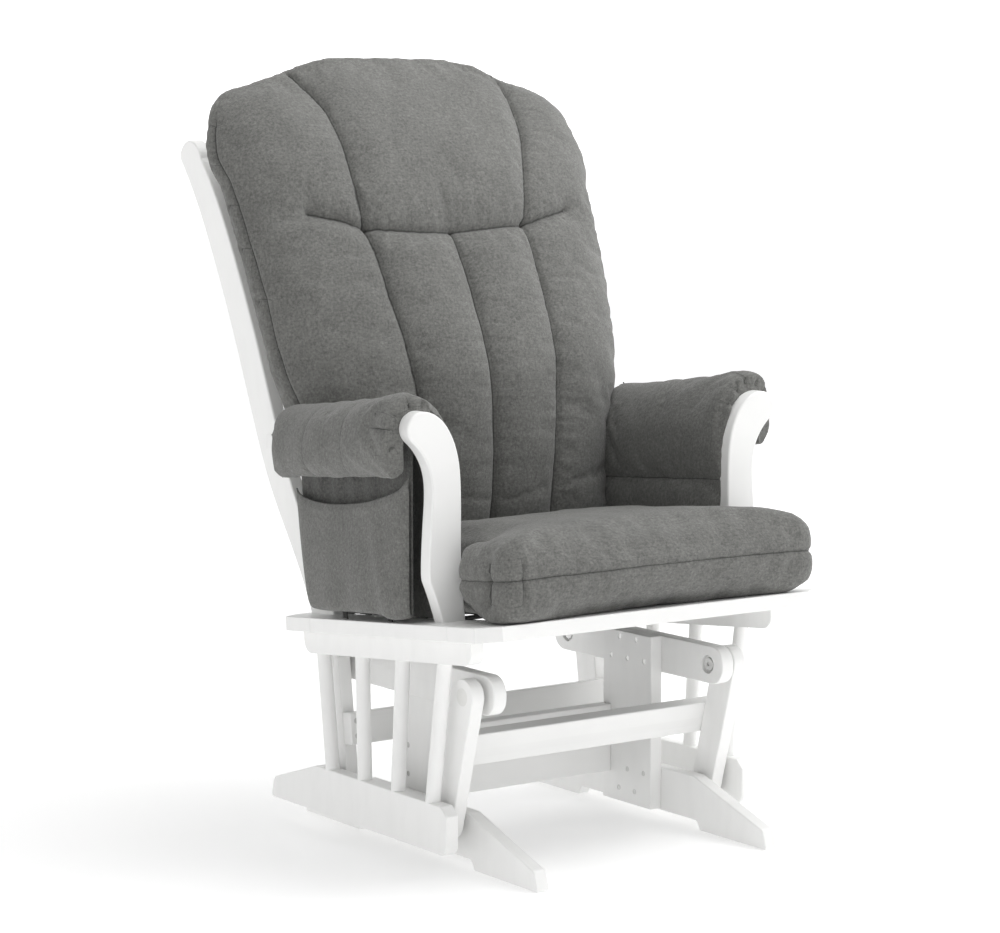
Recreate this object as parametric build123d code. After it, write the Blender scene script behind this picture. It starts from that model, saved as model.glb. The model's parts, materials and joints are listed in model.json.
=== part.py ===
from build123d import *
import math
import os

# Glider nursery chair, millimetres. +Z is up, +X is the sitter's left seen from the front (viewer's
# right), -Y is the front. The shapes are laid out with Y = 0 near the base's middle; at the end
# everything moves by ORIGIN_Y, so that the origin is the bottom centre of the whole chair's box.
ORIGIN_Y = -110.4

# ---------------------------------------------------------------- driving dimensions
BOARD = 20.0              # thickness of every structural board
EDGE = 2.0                # rounding on the edges of boards

BASE_MID_Y = 16.0         # middle of the feet and posts
FOOT_X = 182.5            # inner face of feet and beams
FOOT_HALF = 283.3         # half the length of a foot
FOOT_H = 75.7
FOOT_FLAT_HALF = 127.0    # half of the foot's level top
FOOT_TIP_H = 27.0
FOOT_TIP_RAKE = 9.0
ARCH_H = 13.0             # gap under the foot between its two pads
ARCH_HALF = 134.0

POST_HALF_W = 55.5
POST_BOTTOM = 16.0
BEAM_TOP = 264.9
BEAM_BOTTOM = 211.9
BEAM_OVERHANG = 32.5      # beam beyond each upper pivot
CROSS_BOTTOM = 57.0
CROSS_TOP = 155.0

UPPER_PIVOT_Z = 238.4
LOWER_PIVOT_Z = 62.0
FRONT_UPPER_Y = -139.5
FRONT_LOWER_Y = -93.5
REAR_UPPER_Y = 184.5
REAR_LOWER_Y = 161.0
LINK_X = 211.5            # inner face of the links
LINK_R_TOP = 23.5
LINK_R_BOTTOM = 21.5
STRETCHER_H = 45.0
STRETCHER_DROP = 71.0     # from the upper pivot to the stretcher's top, along the link

RAIL_X = 241.5            # inner face of lower and upper rails
LOWER_RAIL_BOTTOM = 30.5
LOWER_RAIL_TOP = 96.0
LOWER_RAIL_FRONT = -146.0
LOWER_RAIL_REAR = 297.0
UPPER_RAIL_H = 33.0
UPPER_RAIL_START = 65.0   # behind the deck's front edge, along the deck
UPPER_RAIL_END = 474.0

DECK_FRONT_Y = -265.0
DECK_FRONT_Z = 350.6      # top of the deck's front edge
DECK_TILT = 5.65
DECK_HALF_W = 286.0
DECK_LEN = 500.0
DECK_CLIP_X = 29.4        # clipped corners
DECK_CLIP_Y = 19.6
DECK_FRONT_BOARD = 82.0
DECK_REAR_BOARD = 84.0
DECK_SIDE_BOARD = 80.0

SPINDLE_D = 20.0
SPINDLE_SOCKET = 10.0
SPINDLE_TOP_Y = [-130.0, -31.0, 68.0, 167.0]
SPINDLE_BOTTOM_Y = [-101.0, -18.7, 63.7, 146.0]
SPINDLE_X = RAIL_X + BOARD / 2

ARM_POST_FRONT_Y = -130.0
ARM_POST_T = 22.0
ARM_BOARD_X = (250.0, 296.0)
ARM_BOARD_REAR_Y = 306.0
ARM_BOARD_TOP_Z = 604.0   # at the arm post
PAD_SLOPE = 0.135         # how much the arms fall towards the back

BACK_POST_FOOT_X = 240.0  # outer face at the deck
BACK_POST_FOOT_Z = 302.0
BACK_SPLAY = 4.14         # the posts lean outwards by this much
BACK_POST_DEPTH = 62.0    # measured level, front to back
BACK_POST_REAR = [(218, 300), (254, 380), (306, 470), (343, 567), (386, 700), (425, 800), (452, 860)]
BACK_POST_TIP = (499, 938)
SLAT_T = 12.0
SLAT_W = 46.0
SLAT_COUNT = 5

PIVOT_BOLT_R = 4.0
BEARING_R = 11.0
RUNNING_FIT = 0.05        # radial, bolt in bearing
OPEN_PIVOT_FIT = 2.4      # radial, at the rear lower pivot, which closes the four-bar loop
SIDE_PLAY = 0.4           # between a link and what is beside it

SEAT_PAD_T = 109.0
SEAT_PAD_LIFT = 4.0
SEAT_PAD_HALF_W = 215.0
SEAT_WING_HALF_W = 267.0
SEAT_PAD_FRONT = -14.0    # beyond the deck's front edge, along the deck
SEAT_WING_END = 122.5
SEAT_PAD_END = 364.0

BACK_COVER = 15.0         # thickness of the back cushion's quilted cover
PAD_FRONT_Y = -106.5
PAD_REAR_Y = 178.0
PAD_TOP_Z = 636.0         # at the front end
PANEL_X = 221.0           # inner face of the arm pad's inner panel
POCKET_X = (275.0, 291.0)
POCKET_CLOTH = 3.0


# ---------------------------------------------------------------- helpers
def side_board(outline, radii, x0, thickness, soft=EDGE):
    """A board standing in a YZ plane, from x0 outwards, with rounded outline corners."""
    wire = FilletPolyline(*outline, radius=radii, close=True)
    board = extrude(Plane.YZ.offset(x0) * make_face(wire), amount=thickness)
    return soften(board, soft)


def soften(board, radius=EDGE):
    """Round the long edges of a board."""
    return fillet(board.edges(), radius) if radius else board


def brick(x, y, z):
    """A box from its corner ranges."""
    size = [b - a for a, b in (x, y, z)]
    middle = [(a + b) / 2 for a, b in (x, y, z)]
    return Pos(*middle) * Box(*size)


def rod(start, direction, length, radius):
    """A cylinder from a start point along a direction."""
    return extrude(Plane(origin=start, z_dir=direction) * Circle(radius), amount=length)


def mirrored(part):
    return mirror(part, about=Plane.YZ)


def both(part):
    """The part and its mirror image, as a list."""
    return [part, mirrored(part)]


def screw(start, direction, length, head_r=4.0, shank_r=2.0, recess=0.6):
    """A countersunk screw, its head a little below the surface at start."""
    plane = Plane(origin=start, z_dir=direction)
    profile = Polyline(
        (0, 0, recess), (head_r, 0, recess), (head_r, 0, recess + 1.2),
        (shank_r, 0, recess + 3.4), (shank_r, 0, length - 3), (0, 0, length), close=True)
    return plane * revolve(make_face(profile), Axis.Z)


def screw_hole(start, direction, length, head_r=4.0, shank_r=2.0, recess=0.6):
    """The hole for such a screw, open at the surface."""
    plane = Plane(origin=start, z_dir=direction)
    mouth = plane * Pos(0, 0, (recess - 2) / 2) * Cylinder(head_r, recess + 2)
    return screw(start, direction, length, head_r, shank_r, recess) + mouth


def cut(part, tools):
    """The part without the tools."""
    return part - list(tools) if tools else part


def deck_point(s, t, x=0.0):
    """A point s behind the deck's front edge and t above its top, in chair coordinates."""
    a = math.radians(DECK_TILT)
    return (x, DECK_FRONT_Y + s * math.cos(a) + t * math.sin(a),
            DECK_FRONT_Z - s * math.sin(a) + t * math.cos(a))


DECK = Location((0, DECK_FRONT_Y, DECK_FRONT_Z), (-DECK_TILT, 0, 0))
DECK_NORMAL = (0, math.sin(math.radians(DECK_TILT)), math.cos(math.radians(DECK_TILT)))
DECK_DOWN = (0, -DECK_NORMAL[1], -DECK_NORMAL[2])
BELOW_DECK = DECK * brick((-400, 400), (-200, 700), (-400, 0))
NODES = {}


def keep(name, parts):
    """Store a sub-part's solids under its node name."""
    solids = parts if isinstance(parts, list) else [parts]
    NODES[name] = solids


# ---------------------------------------------------------------- fixed base
def foot():
    tip = BASE_MID_Y - FOOT_HALF
    half = [
        (tip, 0), (tip + FOOT_TIP_RAKE, FOOT_TIP_H), (BASE_MID_Y - FOOT_FLAT_HALF, FOOT_H)]
    other = [(2 * BASE_MID_Y - y, z) for y, z in reversed(half)]
    arch = [(BASE_MID_Y + ARCH_HALF + 7, 0), (BASE_MID_Y + ARCH_HALF, ARCH_H),
            (BASE_MID_Y - ARCH_HALF, ARCH_H), (BASE_MID_Y - ARCH_HALF - 7, 0)]
    outline = half + other + arch
    return side_board(outline, [3, 8, 14, 14, 8, 3, 4, 8, 8, 4], FOOT_X, BOARD)


def beam():
    y0, y1 = FRONT_UPPER_Y - BEAM_OVERHANG, REAR_UPPER_Y + BEAM_OVERHANG
    outline = [(y0, BEAM_BOTTOM), (y0, BEAM_TOP), (y1, BEAM_TOP), (y1, BEAM_BOTTOM)]
    return side_board(outline, [24] * 4, FOOT_X, BOARD)


def post():
    y0, y1 = BASE_MID_Y - POST_HALF_W, BASE_MID_Y + POST_HALF_W
    return soften(brick((FOOT_X - BOARD, FOOT_X), (y0, y1), (POST_BOTTOM, BEAM_TOP)))


def post_screw_places():
    """Screws from the post's inner face into the beam and the foot."""
    upper = [(33, 256), (-5, 256), (52, 227), (15, 227), (-23, 227)]
    lower = [(14, 66), (-23, 66), (33, 36), (-3, 36)]
    return [(FOOT_X - BOARD, y, z) for y, z in upper + lower]


def cross_screw_places():
    """Screws from the post's outer face into the ends of the cross board."""
    y = BASE_MID_Y + POST_HALF_W - BOARD / 2
    return [(FOOT_X, y, z) for z in (CROSS_BOTTOM + 38, CROSS_TOP - 20)]


def upper_pivots():
    return [(FRONT_UPPER_Y, UPPER_PIVOT_Z), (REAR_UPPER_Y, UPPER_PIVOT_Z)]


def lower_pivots():
    return [(FRONT_LOWER_Y, LOWER_PIVOT_Z), (REAR_LOWER_Y, LOWER_PIVOT_Z)]


HEAD_R, HEAD_T, HEAD_SINK = 9.5, 4.5, 6.0     # bolt head in its recess
NUT_FLATS, NUT_T = 13.0, 6.5
UPPER_BEARING = 9.5                           # length; the nut and a cap fill the rest of the link
NUT_ROOM_R, CAP_T = 12.0, 2.5
SPACER_R = 8.0


def upper_bolt(y, z):
    """Pivot bolt: round head with a hex socket in the beam's recess, shank into the link."""
    x0 = FOOT_X + HEAD_SINK - HEAD_T
    end = LINK_X + BOARD - CAP_T - 0.5
    head = rod((x0, y, z), (1, 0, 0), HEAD_T, HEAD_R)
    head = fillet(head.edges().group_by(Axis.X)[0], 1.2)
    socket = extrude(Plane(origin=(x0, y, z), z_dir=(1, 0, 0)) * RegularPolygon(3.0, 6), amount=2.6)
    return head + rod((x0 + HEAD_T, y, z), (1, 0, 0), end - x0 - HEAD_T, PIVOT_BOLT_R) - socket


def upper_bolt_hole(y, z):
    recess = rod((FOOT_X - 1, y, z), (1, 0, 0), HEAD_SINK + 1, 13.0)
    return recess + rod((FOOT_X, y, z), (1, 0, 0), BOARD + 1, PIVOT_BOLT_R)


def ring(x0, x1, y, z, outer, inner):
    return rod((x0, y, z), (1, 0, 0), x1 - x0, outer) - rod((x0 - 1, y, z), (1, 0, 0), x1 - x0 + 2, inner)


def upper_spacer(y, z):
    return ring(FOOT_X + BOARD, LINK_X - SIDE_PLAY, y, z, SPACER_R, PIVOT_BOLT_R)


def upper_nut(y, z):
    """A lock nut inside the link, under the cap that closes the link's outer face."""
    x0 = LINK_X + UPPER_BEARING + SIDE_PLAY
    plane = Plane(origin=(x0, y, z), z_dir=(1, 0, 0))
    nut = extrude(plane * RegularPolygon(NUT_FLATS / 2, 6, major_radius=False), amount=NUT_T)
    return nut - rod((x0 - 1, y, z), (1, 0, 0), NUT_T + 2, PIVOT_BOLT_R)


def make_base():
    screws = [screw(p, (1, 0, 0), 36) for p in post_screw_places()]
    holes = [screw_hole(p, (1, 0, 0), 36) for p in post_screw_places()]
    cross_screws = [screw(p, (-1, 0, 0), 50) for p in cross_screw_places()]
    cross_holes = [screw_hole(p, (-1, 0, 0), 50) for p in cross_screw_places()]
    pivots = upper_pivots()
    feet = cut(foot(), holes)
    beams = cut(beam(), holes + [upper_bolt_hole(y, z) for y, z in pivots])
    posts = cut(post(), holes + cross_holes)
    y1 = BASE_MID_Y + POST_HALF_W
    inner = FOOT_X - BOARD
    cross = soften(brick((-inner, inner), (y1 - BOARD, y1), (CROSS_BOTTOM, CROSS_TOP)))
    cross = cut(cross, cross_holes + [mirrored(h) for h in cross_holes])
    for side, place in (("right", lambda s: s), ("left", mirrored)):
        keep(side + "_foot", place(feet))
        keep(side + "_beam", place(beams))
        keep(side + "_post", place(posts))
    keep("base_cross_board", cross)
    keep("post_screws", [s for one in screws for s in both(one)])
    keep("cross_board_screws", [s for one in cross_screws for s in both(one)])
    keep("upper_pivot_bolts", [s for y, z in pivots for s in both(upper_bolt(y, z))])
    keep("upper_pivot_spacers", [s for y, z in pivots for s in both(upper_spacer(y, z))])
    keep("upper_pivot_nuts", [s for y, z in pivots for s in both(upper_nut(y, z))])


# ---------------------------------------------------------------- the two swings
def link_board(top, bottom):
    """A plate around two circles, from the upper pivot to the lower one."""
    plane = Plane.YZ.offset(LINK_X)
    rounds = [Pos(*top) * Circle(LINK_R_TOP), Pos(*bottom) * Circle(LINK_R_BOTTOM)]
    dy, dz = bottom[0] - top[0], bottom[1] - top[1]
    span = math.hypot(dy, dz)
    along = math.atan2(dz, dy)
    lean = math.acos((LINK_R_TOP - LINK_R_BOTTOM) / span)
    corners = []
    for centre, radius, turn in ((top, LINK_R_TOP, 1), (bottom, LINK_R_BOTTOM, 1),
                                 (bottom, LINK_R_BOTTOM, -1), (top, LINK_R_TOP, -1)):
        a = along + turn * lean
        corners.append((centre[0] + radius * math.cos(a), centre[1] + radius * math.sin(a)))
    web = make_face(Polyline(*corners, close=True))
    return soften(extrude(plane * (rounds[0] + web + rounds[1]), amount=BOARD))


def stretcher_frame(top, bottom, side):
    """A frame on the link's edge: local x along the chair's width, z up the link's edge."""
    dy, dz = bottom[0] - top[0], bottom[1] - top[1]
    span = math.hypot(dy, dz)
    up = (0, -dy / span, -dz / span)
    out = (0, up[2] * side, -up[1] * side)     # side 1: out of the link's rear edge
    drop = STRETCHER_DROP
    reach = LINK_R_TOP + (LINK_R_BOTTOM - LINK_R_TOP) * (drop + STRETCHER_H / 2) / span
    start = (0, top[0] - up[1] * drop + out[1] * reach, top[1] - up[2] * drop + out[2] * reach)
    return Plane(origin=start, x_dir=(1, 0, 0), z_dir=up), out


def make_swing(prefix, top, bottom, side, bottom_fit):
    frame, out = stretcher_frame(top, bottom, side)
    width = LINK_X + BOARD
    y_sign = 1 if frame.y_dir.Y * out[1] > 0 else -1
    board = brick((-width, width), (0, BOARD), (-STRETCHER_H, 0))
    board = board if y_sign > 0 else mirror(board, about=Plane.XZ)
    stretcher = frame * soften(board)
    into = tuple(-v for v in out)
    places = []
    for z in (-12.0, -STRETCHER_H + 12.0):
        local = frame.from_local_coords(Vector(LINK_X + BOARD / 2, y_sign * BOARD, z))
        places.append((local.X, local.Y, local.Z))
    screws = [screw(p, into, 44) for p in places]
    holes = [screw_hole(p, into, 44) for p in places]
    link = link_board(top, bottom)
    sockets = [rod((LINK_X - 1, y, z), (1, 0, 0), BOARD + 2, BEARING_R) for y, z in (top, bottom)]
    nut_room = rod((LINK_X + UPPER_BEARING, *top), (1, 0, 0), BOARD, NUT_ROOM_R)
    link = cut(link, holes + sockets + [nut_room])
    stretcher = cut(stretcher, holes + [mirrored(h) for h in holes])
    stretcher = stretcher - link - mirrored(link)
    bearings = [
        ring(LINK_X, LINK_X + UPPER_BEARING, *top, BEARING_R, PIVOT_BOLT_R + RUNNING_FIT),
        rod((LINK_X + BOARD - CAP_T, *top), (1, 0, 0), CAP_T, NUT_ROOM_R),
        ring(LINK_X, LINK_X + BOARD, *bottom, BEARING_R, PIVOT_BOLT_R + bottom_fit)]
    keep("right_" + prefix + "_link", link)
    keep("left_" + prefix + "_link", mirrored(link))
    keep(prefix + "_stretcher", stretcher)
    keep(prefix + "_stretcher_screws", [s for one in screws for s in both(one)])
    keep(prefix + "_link_bearings", [s for one in bearings for s in both(one)])


def make_swings():
    make_swing("front", (FRONT_UPPER_Y, UPPER_PIVOT_Z), (FRONT_LOWER_Y, LOWER_PIVOT_Z), 1, RUNNING_FIT)
    make_swing("rear", (REAR_UPPER_Y, UPPER_PIVOT_Z), (REAR_LOWER_Y, LOWER_PIVOT_Z), -1, OPEN_PIVOT_FIT)


# ---------------------------------------------------------------- seat unit: sides
def spindle(i):
    """The spindle's cylinder, its ends inside the sockets of the two rails."""
    low = Vector(SPINDLE_X, SPINDLE_BOTTOM_Y[i], LOWER_RAIL_TOP)
    high_z = deck_point(SPINDLE_TOP_Y[i] - DECK_FRONT_Y, -BOARD - UPPER_RAIL_H)[2]
    high = Vector(SPINDLE_X, SPINDLE_TOP_Y[i], high_z)
    way = (high - low).normalized()
    start = low - way * SPINDLE_SOCKET
    return rod(tuple(start), tuple(way), (high - low).length + 2 * SPINDLE_SOCKET, SPINDLE_D / 2)


def lower_rail():
    bevel = [(LOWER_RAIL_FRONT, LOWER_RAIL_TOP - 12), (LOWER_RAIL_FRONT + 13, LOWER_RAIL_TOP)]
    outline = [(LOWER_RAIL_FRONT, LOWER_RAIL_BOTTOM), *bevel,
               (175, LOWER_RAIL_TOP), (289, 60), (LOWER_RAIL_REAR, LOWER_RAIL_BOTTOM)]
    return side_board(outline, [14, 3, 3, 16, 9, 5], RAIL_X, BOARD)


def upper_rail():
    top, bottom = -BOARD, -BOARD - UPPER_RAIL_H
    outline = [(UPPER_RAIL_START, top), (UPPER_RAIL_END, top),
               (UPPER_RAIL_END, bottom), (UPPER_RAIL_START, bottom)]
    wire = FilletPolyline(*outline, radius=[0, 0, 18, 18], close=True)
    board = extrude(Plane.YZ.offset(RAIL_X) * make_face(wire), amount=BOARD)
    return DECK * board


def lower_bolt(y, z):
    """Pivot bolt: head beside the link, shank through its bearing into the rail's insert."""
    x0 = LINK_X - SIDE_PLAY - 4.0
    head = rod((x0, y, z), (1, 0, 0), 4.0, 9.0)
    return head + rod((x0 + 4.0, y, z), (1, 0, 0), RAIL_X + 13 - x0 - 4.0, PIVOT_BOLT_R)


def lower_spacer(y, z):
    return ring(LINK_X + BOARD + SIDE_PLAY, RAIL_X, y, z, SPACER_R, PIVOT_BOLT_R)


def lower_insert(y, z):
    return ring(RAIL_X, RAIL_X + 13, y, z, 7.0, PIVOT_BOLT_R)


def make_sides():
    pegs = [spindle(i) for i in range(len(SPINDLE_TOP_Y))]
    pivots = lower_pivots()
    inserts = [rod((RAIL_X - 1, y, z), (1, 0, 0), 14, 7.0) for y, z in pivots]
    lower = cut(lower_rail(), pegs + inserts)
    deck_screws = [screw(p, DECK_NORMAL, 48) for p in rail_screw_places()]
    holes = [screw_hole(p, DECK_NORMAL, 48) for p in rail_screw_places()]
    upper = cut(upper_rail(), pegs + holes)
    for side, place in (("right", lambda s: s), ("left", mirrored)):
        keep(side + "_lower_rail", place(lower))
        keep(side + "_upper_rail", place(upper))
        for i, peg in enumerate(pegs):
            keep(side + "_spindle_" + str(i + 1), place(peg))
    keep("lower_pivot_bolts", [s for y, z in pivots for s in both(lower_bolt(y, z))])
    keep("lower_pivot_spacers", [s for y, z in pivots for s in both(lower_spacer(y, z))])
    keep("rail_inserts", [s for y, z in pivots for s in both(lower_insert(y, z))])
    return deck_screws, holes


def rail_screw_places():
    """Screws up through the upper rail into the deck."""
    return [deck_point(s, -BOARD - UPPER_RAIL_H, SPINDLE_X) for s in (100, 190, 288, 455)]


# ---------------------------------------------------------------- seat unit: deck
def make_deck(rail_holes, arm_holes, back_holes):
    w, l = DECK_HALF_W, DECK_LEN
    cx, cy = DECK_CLIP_X, DECK_CLIP_Y
    front = [(-w + cx, 0), (w - cx, 0), (w, cy), (w, DECK_FRONT_BOARD), (-w, DECK_FRONT_BOARD), (-w, cy)]
    rear = [(-w, l - DECK_REAR_BOARD), (w, l - DECK_REAR_BOARD), (w, l - cy), (w - cx, l),
            (-w + cx, l), (-w, l - cy)]
    boards = {}
    for name, outline in (("deck_front_board", front), ("deck_rear_board", rear)):
        face = make_face(Polyline(*outline, close=True))
        boards[name] = DECK * Pos(0, 0, -BOARD) * soften(extrude(face, amount=BOARD), 1.5)
    side = brick((w - DECK_SIDE_BOARD, w), (DECK_FRONT_BOARD, l - DECK_REAR_BOARD), (-BOARD, 0))
    side = DECK * soften(side, 1.5)
    every = rail_holes + arm_holes + back_holes
    every = every + [mirrored(h) for h in every]
    keep("deck_front_board", cut(boards["deck_front_board"], every))
    keep("deck_rear_board", cut(boards["deck_rear_board"], every))
    keep("right_deck_board", cut(side, every))
    keep("left_deck_board", cut(mirrored(side), every))


def make_webbing():
    """Elastic bands over the deck's opening: lengthwise ones below, crosswise ones above."""
    band, thick, lap = 52.0, 1.5, 26.0
    y0, y1 = DECK_FRONT_BOARD - lap, DECK_LEN - DECK_REAR_BOARD + lap
    x1 = DECK_HALF_W - DECK_SIDE_BOARD + lap - 14
    bands = []
    for x in (-141.0, -47.0, 47.0, 141.0):
        bands.append(DECK * brick((x - band / 2, x + band / 2), (y0, y1), (0, thick)))
    for y in (150.0, 249.0, 348.0):
        bands.append(DECK * brick((-x1, x1), (y - band / 2, y + band / 2), (thick, 2 * thick)))
    keep("seat_webbing", bands)


# ---------------------------------------------------------------- seat unit: arms
def arm_post():
    """The S-curved front post of the arm: a board that faces forwards."""
    inner = [(216, 320), (224, 400), (225, 510), (236, 573)]
    outer = [(275, 538), (272, 470), (275, 400), (249, 320)]
    top, tip, under = (285.5, 613), (308, 590.5), (300, 573.3)
    head = ThreePointArc(top, tip, under)
    left = Spline(*inner, top, tangents=[(0.12, 1), (1, 0)])
    right = Spline(under, *outer, tangents=[(-0.766, -0.643), (-0.3, -1)])
    base = Line(outer[-1], inner[0])
    plane = Plane(origin=(0, ARM_POST_FRONT_Y, 0), x_dir=(1, 0, 0), z_dir=(0, -1, 0))
    board = extrude(plane * make_face([left, head, right, base]), amount=-ARM_POST_T)
    return fillet(board.edges().filter_by(GeomType.LINE, reverse=True), 2.5) - BELOW_DECK


def arm_screw_places():
    """Screws up through the deck into the arm post."""
    s = ARM_POST_FRONT_Y + ARM_POST_T / 2 - DECK_FRONT_Y
    return [deck_point(s, -BOARD, x) for x in (228.0, 245.0)]


def arm_board(back_post):
    y0, y1 = ARM_POST_FRONT_Y + ARM_POST_T, ARM_BOARD_REAR_Y
    top = [(y, ARM_BOARD_TOP_Z - (y - y0) * PAD_SLOPE) for y in (y0, y1)]
    outline = top + [(y, z - BOARD) for y, z in reversed(top)]
    x0, x1 = ARM_BOARD_X
    board = side_board(outline, [0, 0, 0, 0], x0, x1 - x0, 0)
    beside_cushion = brick((0, 269), (160, 233), (400, 700))
    taper = [(297, 224), (259, 283), (259, 330), (320, 330), (320, 224)]
    taper = extrude(Plane.XY.offset(400) * make_face(Polyline(*taper, close=True)), amount=300)
    return board - [back_post, beside_cushion, taper]


# ---------------------------------------------------------------- seat unit: back frame
def back_post():
    """A curved post: its side outline sways back, and the whole post leans outwards."""
    rear = Spline(*BACK_POST_REAR, BACK_POST_TIP)
    front_points = [(y - BACK_POST_DEPTH, z) for y, z in BACK_POST_REAR + [BACK_POST_TIP]]
    front = Spline(*front_points)
    tip_rear, tip_front = BACK_POST_TIP, front_points[-1]
    head = ThreePointArc(tip_rear, ((tip_rear[0] + tip_front[0]) / 2 + 14, tip_rear[1] + 22), tip_front)
    foot_line = Line(front_points[0], BACK_POST_REAR[0])
    face = make_face([rear, head, front, foot_line])
    board = extrude(Plane.YZ * face, amount=-BOARD)
    board = fillet(board.edges().filter_by(GeomType.LINE, reverse=True), 2.5)
    lean = Location((BACK_POST_FOOT_X, 0, BACK_POST_FOOT_Z), (0, BACK_SPLAY, 0))
    return lean * Pos(0, 0, -BACK_POST_FOOT_Z) * board - BELOW_DECK


def back_centre(z, depth):
    """The Y of the back frame's front edge at height z, plus a depth behind it."""
    for (y0, z0), (y1, z1) in zip(BACK_POST_REAR, BACK_POST_REAR[1:] + [BACK_POST_TIP]):
        if z0 <= z <= z1:
            return y0 + (y1 - y0) * (z - z0) / (z1 - z0) - BACK_POST_DEPTH + depth
    return 0.0


def leaning_board(z, height, half_width, crown=0.0):
    """A rail between the back posts, leaning with them at height z; its top may be crowned."""
    y = back_centre(z, 8)
    slope = back_centre(z + 20, 8) - back_centre(z - 20, 8)
    up = Vector(0, slope, 40).normalized()
    plane = Plane(origin=(0, y, z), x_dir=(1, 0, 0), z_dir=(0, up.Z, -up.Y))
    low, high = -height / 2, height / 2
    sides = [Line((-half_width, low), (half_width, low)), Line((half_width, low), (half_width, high))]
    if crown:
        sides.append(ThreePointArc((half_width, high), (0, high + crown), (-half_width, high)))
    else:
        sides.append(Line((half_width, high), (-half_width, high)))
    sides.append(Line((-half_width, high), (-half_width, low)))
    face = make_face(sides)
    return extrude(plane * face, amount=BOARD), plane, up


def back_bolt_places():
    """Bolts up through the deck into the back post's foot."""
    s = 187.0 - DECK_FRONT_Y
    return [deck_point(s + d, -BOARD, BACK_POST_FOOT_X - 9.0) for d in (-15.0, 18.0)]


def make_back(post):
    bottom, low_plane, _ = leaning_board(400, 50, 260)
    top, high_plane, _ = leaning_board(880, 56, 290, crown=20)
    low = Vector(0, back_centre(400, 0), 400) + low_plane.z_dir * BOARD / 2
    high = Vector(0, back_centre(880, 0), 880) + high_plane.z_dir * BOARD / 2
    slats = []
    for i in range(SLAT_COUNT):
        k = i - (SLAT_COUNT - 1) / 2
        start = low_plane.from_local_coords(Vector(k * 82, 16, BOARD / 2))
        end = high_plane.from_local_coords(Vector(k * 94, -18, BOARD / 2))
        way = (end - start).normalized()
        across = Vector(1, 0, 0)
        depth = way.cross(across).normalized()
        plane = Plane(origin=(start + end) / 2, x_dir=depth.cross(way), z_dir=way)
        slats.append(plane * Box(SLAT_W, SLAT_T, (end - start).length))
    posts = [post, mirrored(post)]
    bottom = cut(soften(bottom) - posts, slats)
    top = cut(soften(top) - posts, slats)
    keep("back_bottom_rail", biggest(bottom))
    keep("back_top_rail", biggest(top))
    keep("back_slats", slats)


def biggest(part):
    """The largest solid of a cut part."""
    return part.solids().sort_by(SortBy.VOLUME)[-1]


# ---------------------------------------------------------------- soft goods
def seat_cushion():
    """A T-shaped cushion on the deck; its front corners reach in front of the arm posts."""
    y0, y1, y2 = SEAT_PAD_FRONT, SEAT_WING_END, SEAT_PAD_END
    w, v = SEAT_WING_HALF_W, SEAT_PAD_HALF_W
    outline = [(-w, y0), (w, y0), (w, y1), (v, y1), (v, y2), (-v, y2), (-v, y1), (-w, y1)]
    wire = FilletPolyline(*outline, radius=[42, 42, 24, 4, 30, 30, 4, 24], close=True)
    pad = extrude(make_face(wire), amount=SEAT_PAD_T)
    rims = pad.edges().filter_by(Plane.XY)
    return DECK * Pos(0, 0, SEAT_PAD_LIFT) * chamfer(rims, 3.5)


BACK_SECTIONS = [
    # z, half width, front at the middle, front at the channels, side front, side rear, rear middle
    (338, 200, 118, 119, 132, 150, 158),
    (380, 224, 114, 115, 146, 172, 178),
    (435, 235, 112, 114, 158, 200, 212),
    (500, 250, 103, 108, 170, 214, 240),
    (569, 266, 106, 116, 188, 228, 264),
    (656, 292, 120, 131, 214, 250, 290),
    (743, 303, 157, 163, 242, 282, 320),
    (834, 310, 202, 214, 280, 320, 352),
    (900, 313, 230, 236, 312, 350, 378),
    (960, 316, 253, 256, 342, 374, 396),
    (1010, 298, 288, 293, 358, 384, 402),
    (1050, 226, 332, 338, 368, 388, 402),
    (1078, 130, 364, 366, 376, 386, 396)]


def cushion_section(z, w, front, channel, side, rear_side, rear, cover=0.0):
    """A closed outline of the back cushion at one height, or of the space inside its cover."""
    inset = 0.3 * (rear_side - side) if cover else 0.0
    w, front, channel, rear = w - cover, front + cover, channel + cover, rear - cover
    side, rear_side = side + inset, rear_side - inset
    half = [(0, front), (0.44 * w, channel), (0.8 * w, channel + 0.45 * (side - channel)), (w, side),
            (w, rear_side), (0.6 * w, rear_side + 0.8 * (rear - rear_side)), (0, rear)]
    other = [(-x, y) for x, y in reversed(half[1:-1])]
    return Plane.XY.offset(z) * make_face(Polyline(*half, *other, close=True))


def between(low, high, share):
    """A row of section sizes between two others."""
    return tuple(a + (b - a) * share for a, b in zip(low, high))


def back_cushion():
    """A thick crowned cushion that leans against the back frame: a cover around light filling."""
    outer = [cushion_section(*row) for row in BACK_SECTIONS]
    rows = BACK_SECTIONS[1:-1]
    rows = [between(BACK_SECTIONS[0], rows[0], 0.35)] + rows + [between(rows[-1], BACK_SECTIONS[-1], 0.3)]
    inner = [cushion_section(*row, BACK_COVER) for row in rows]
    return loft(outer, ruled=True) - loft(inner, ruled=True)


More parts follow.
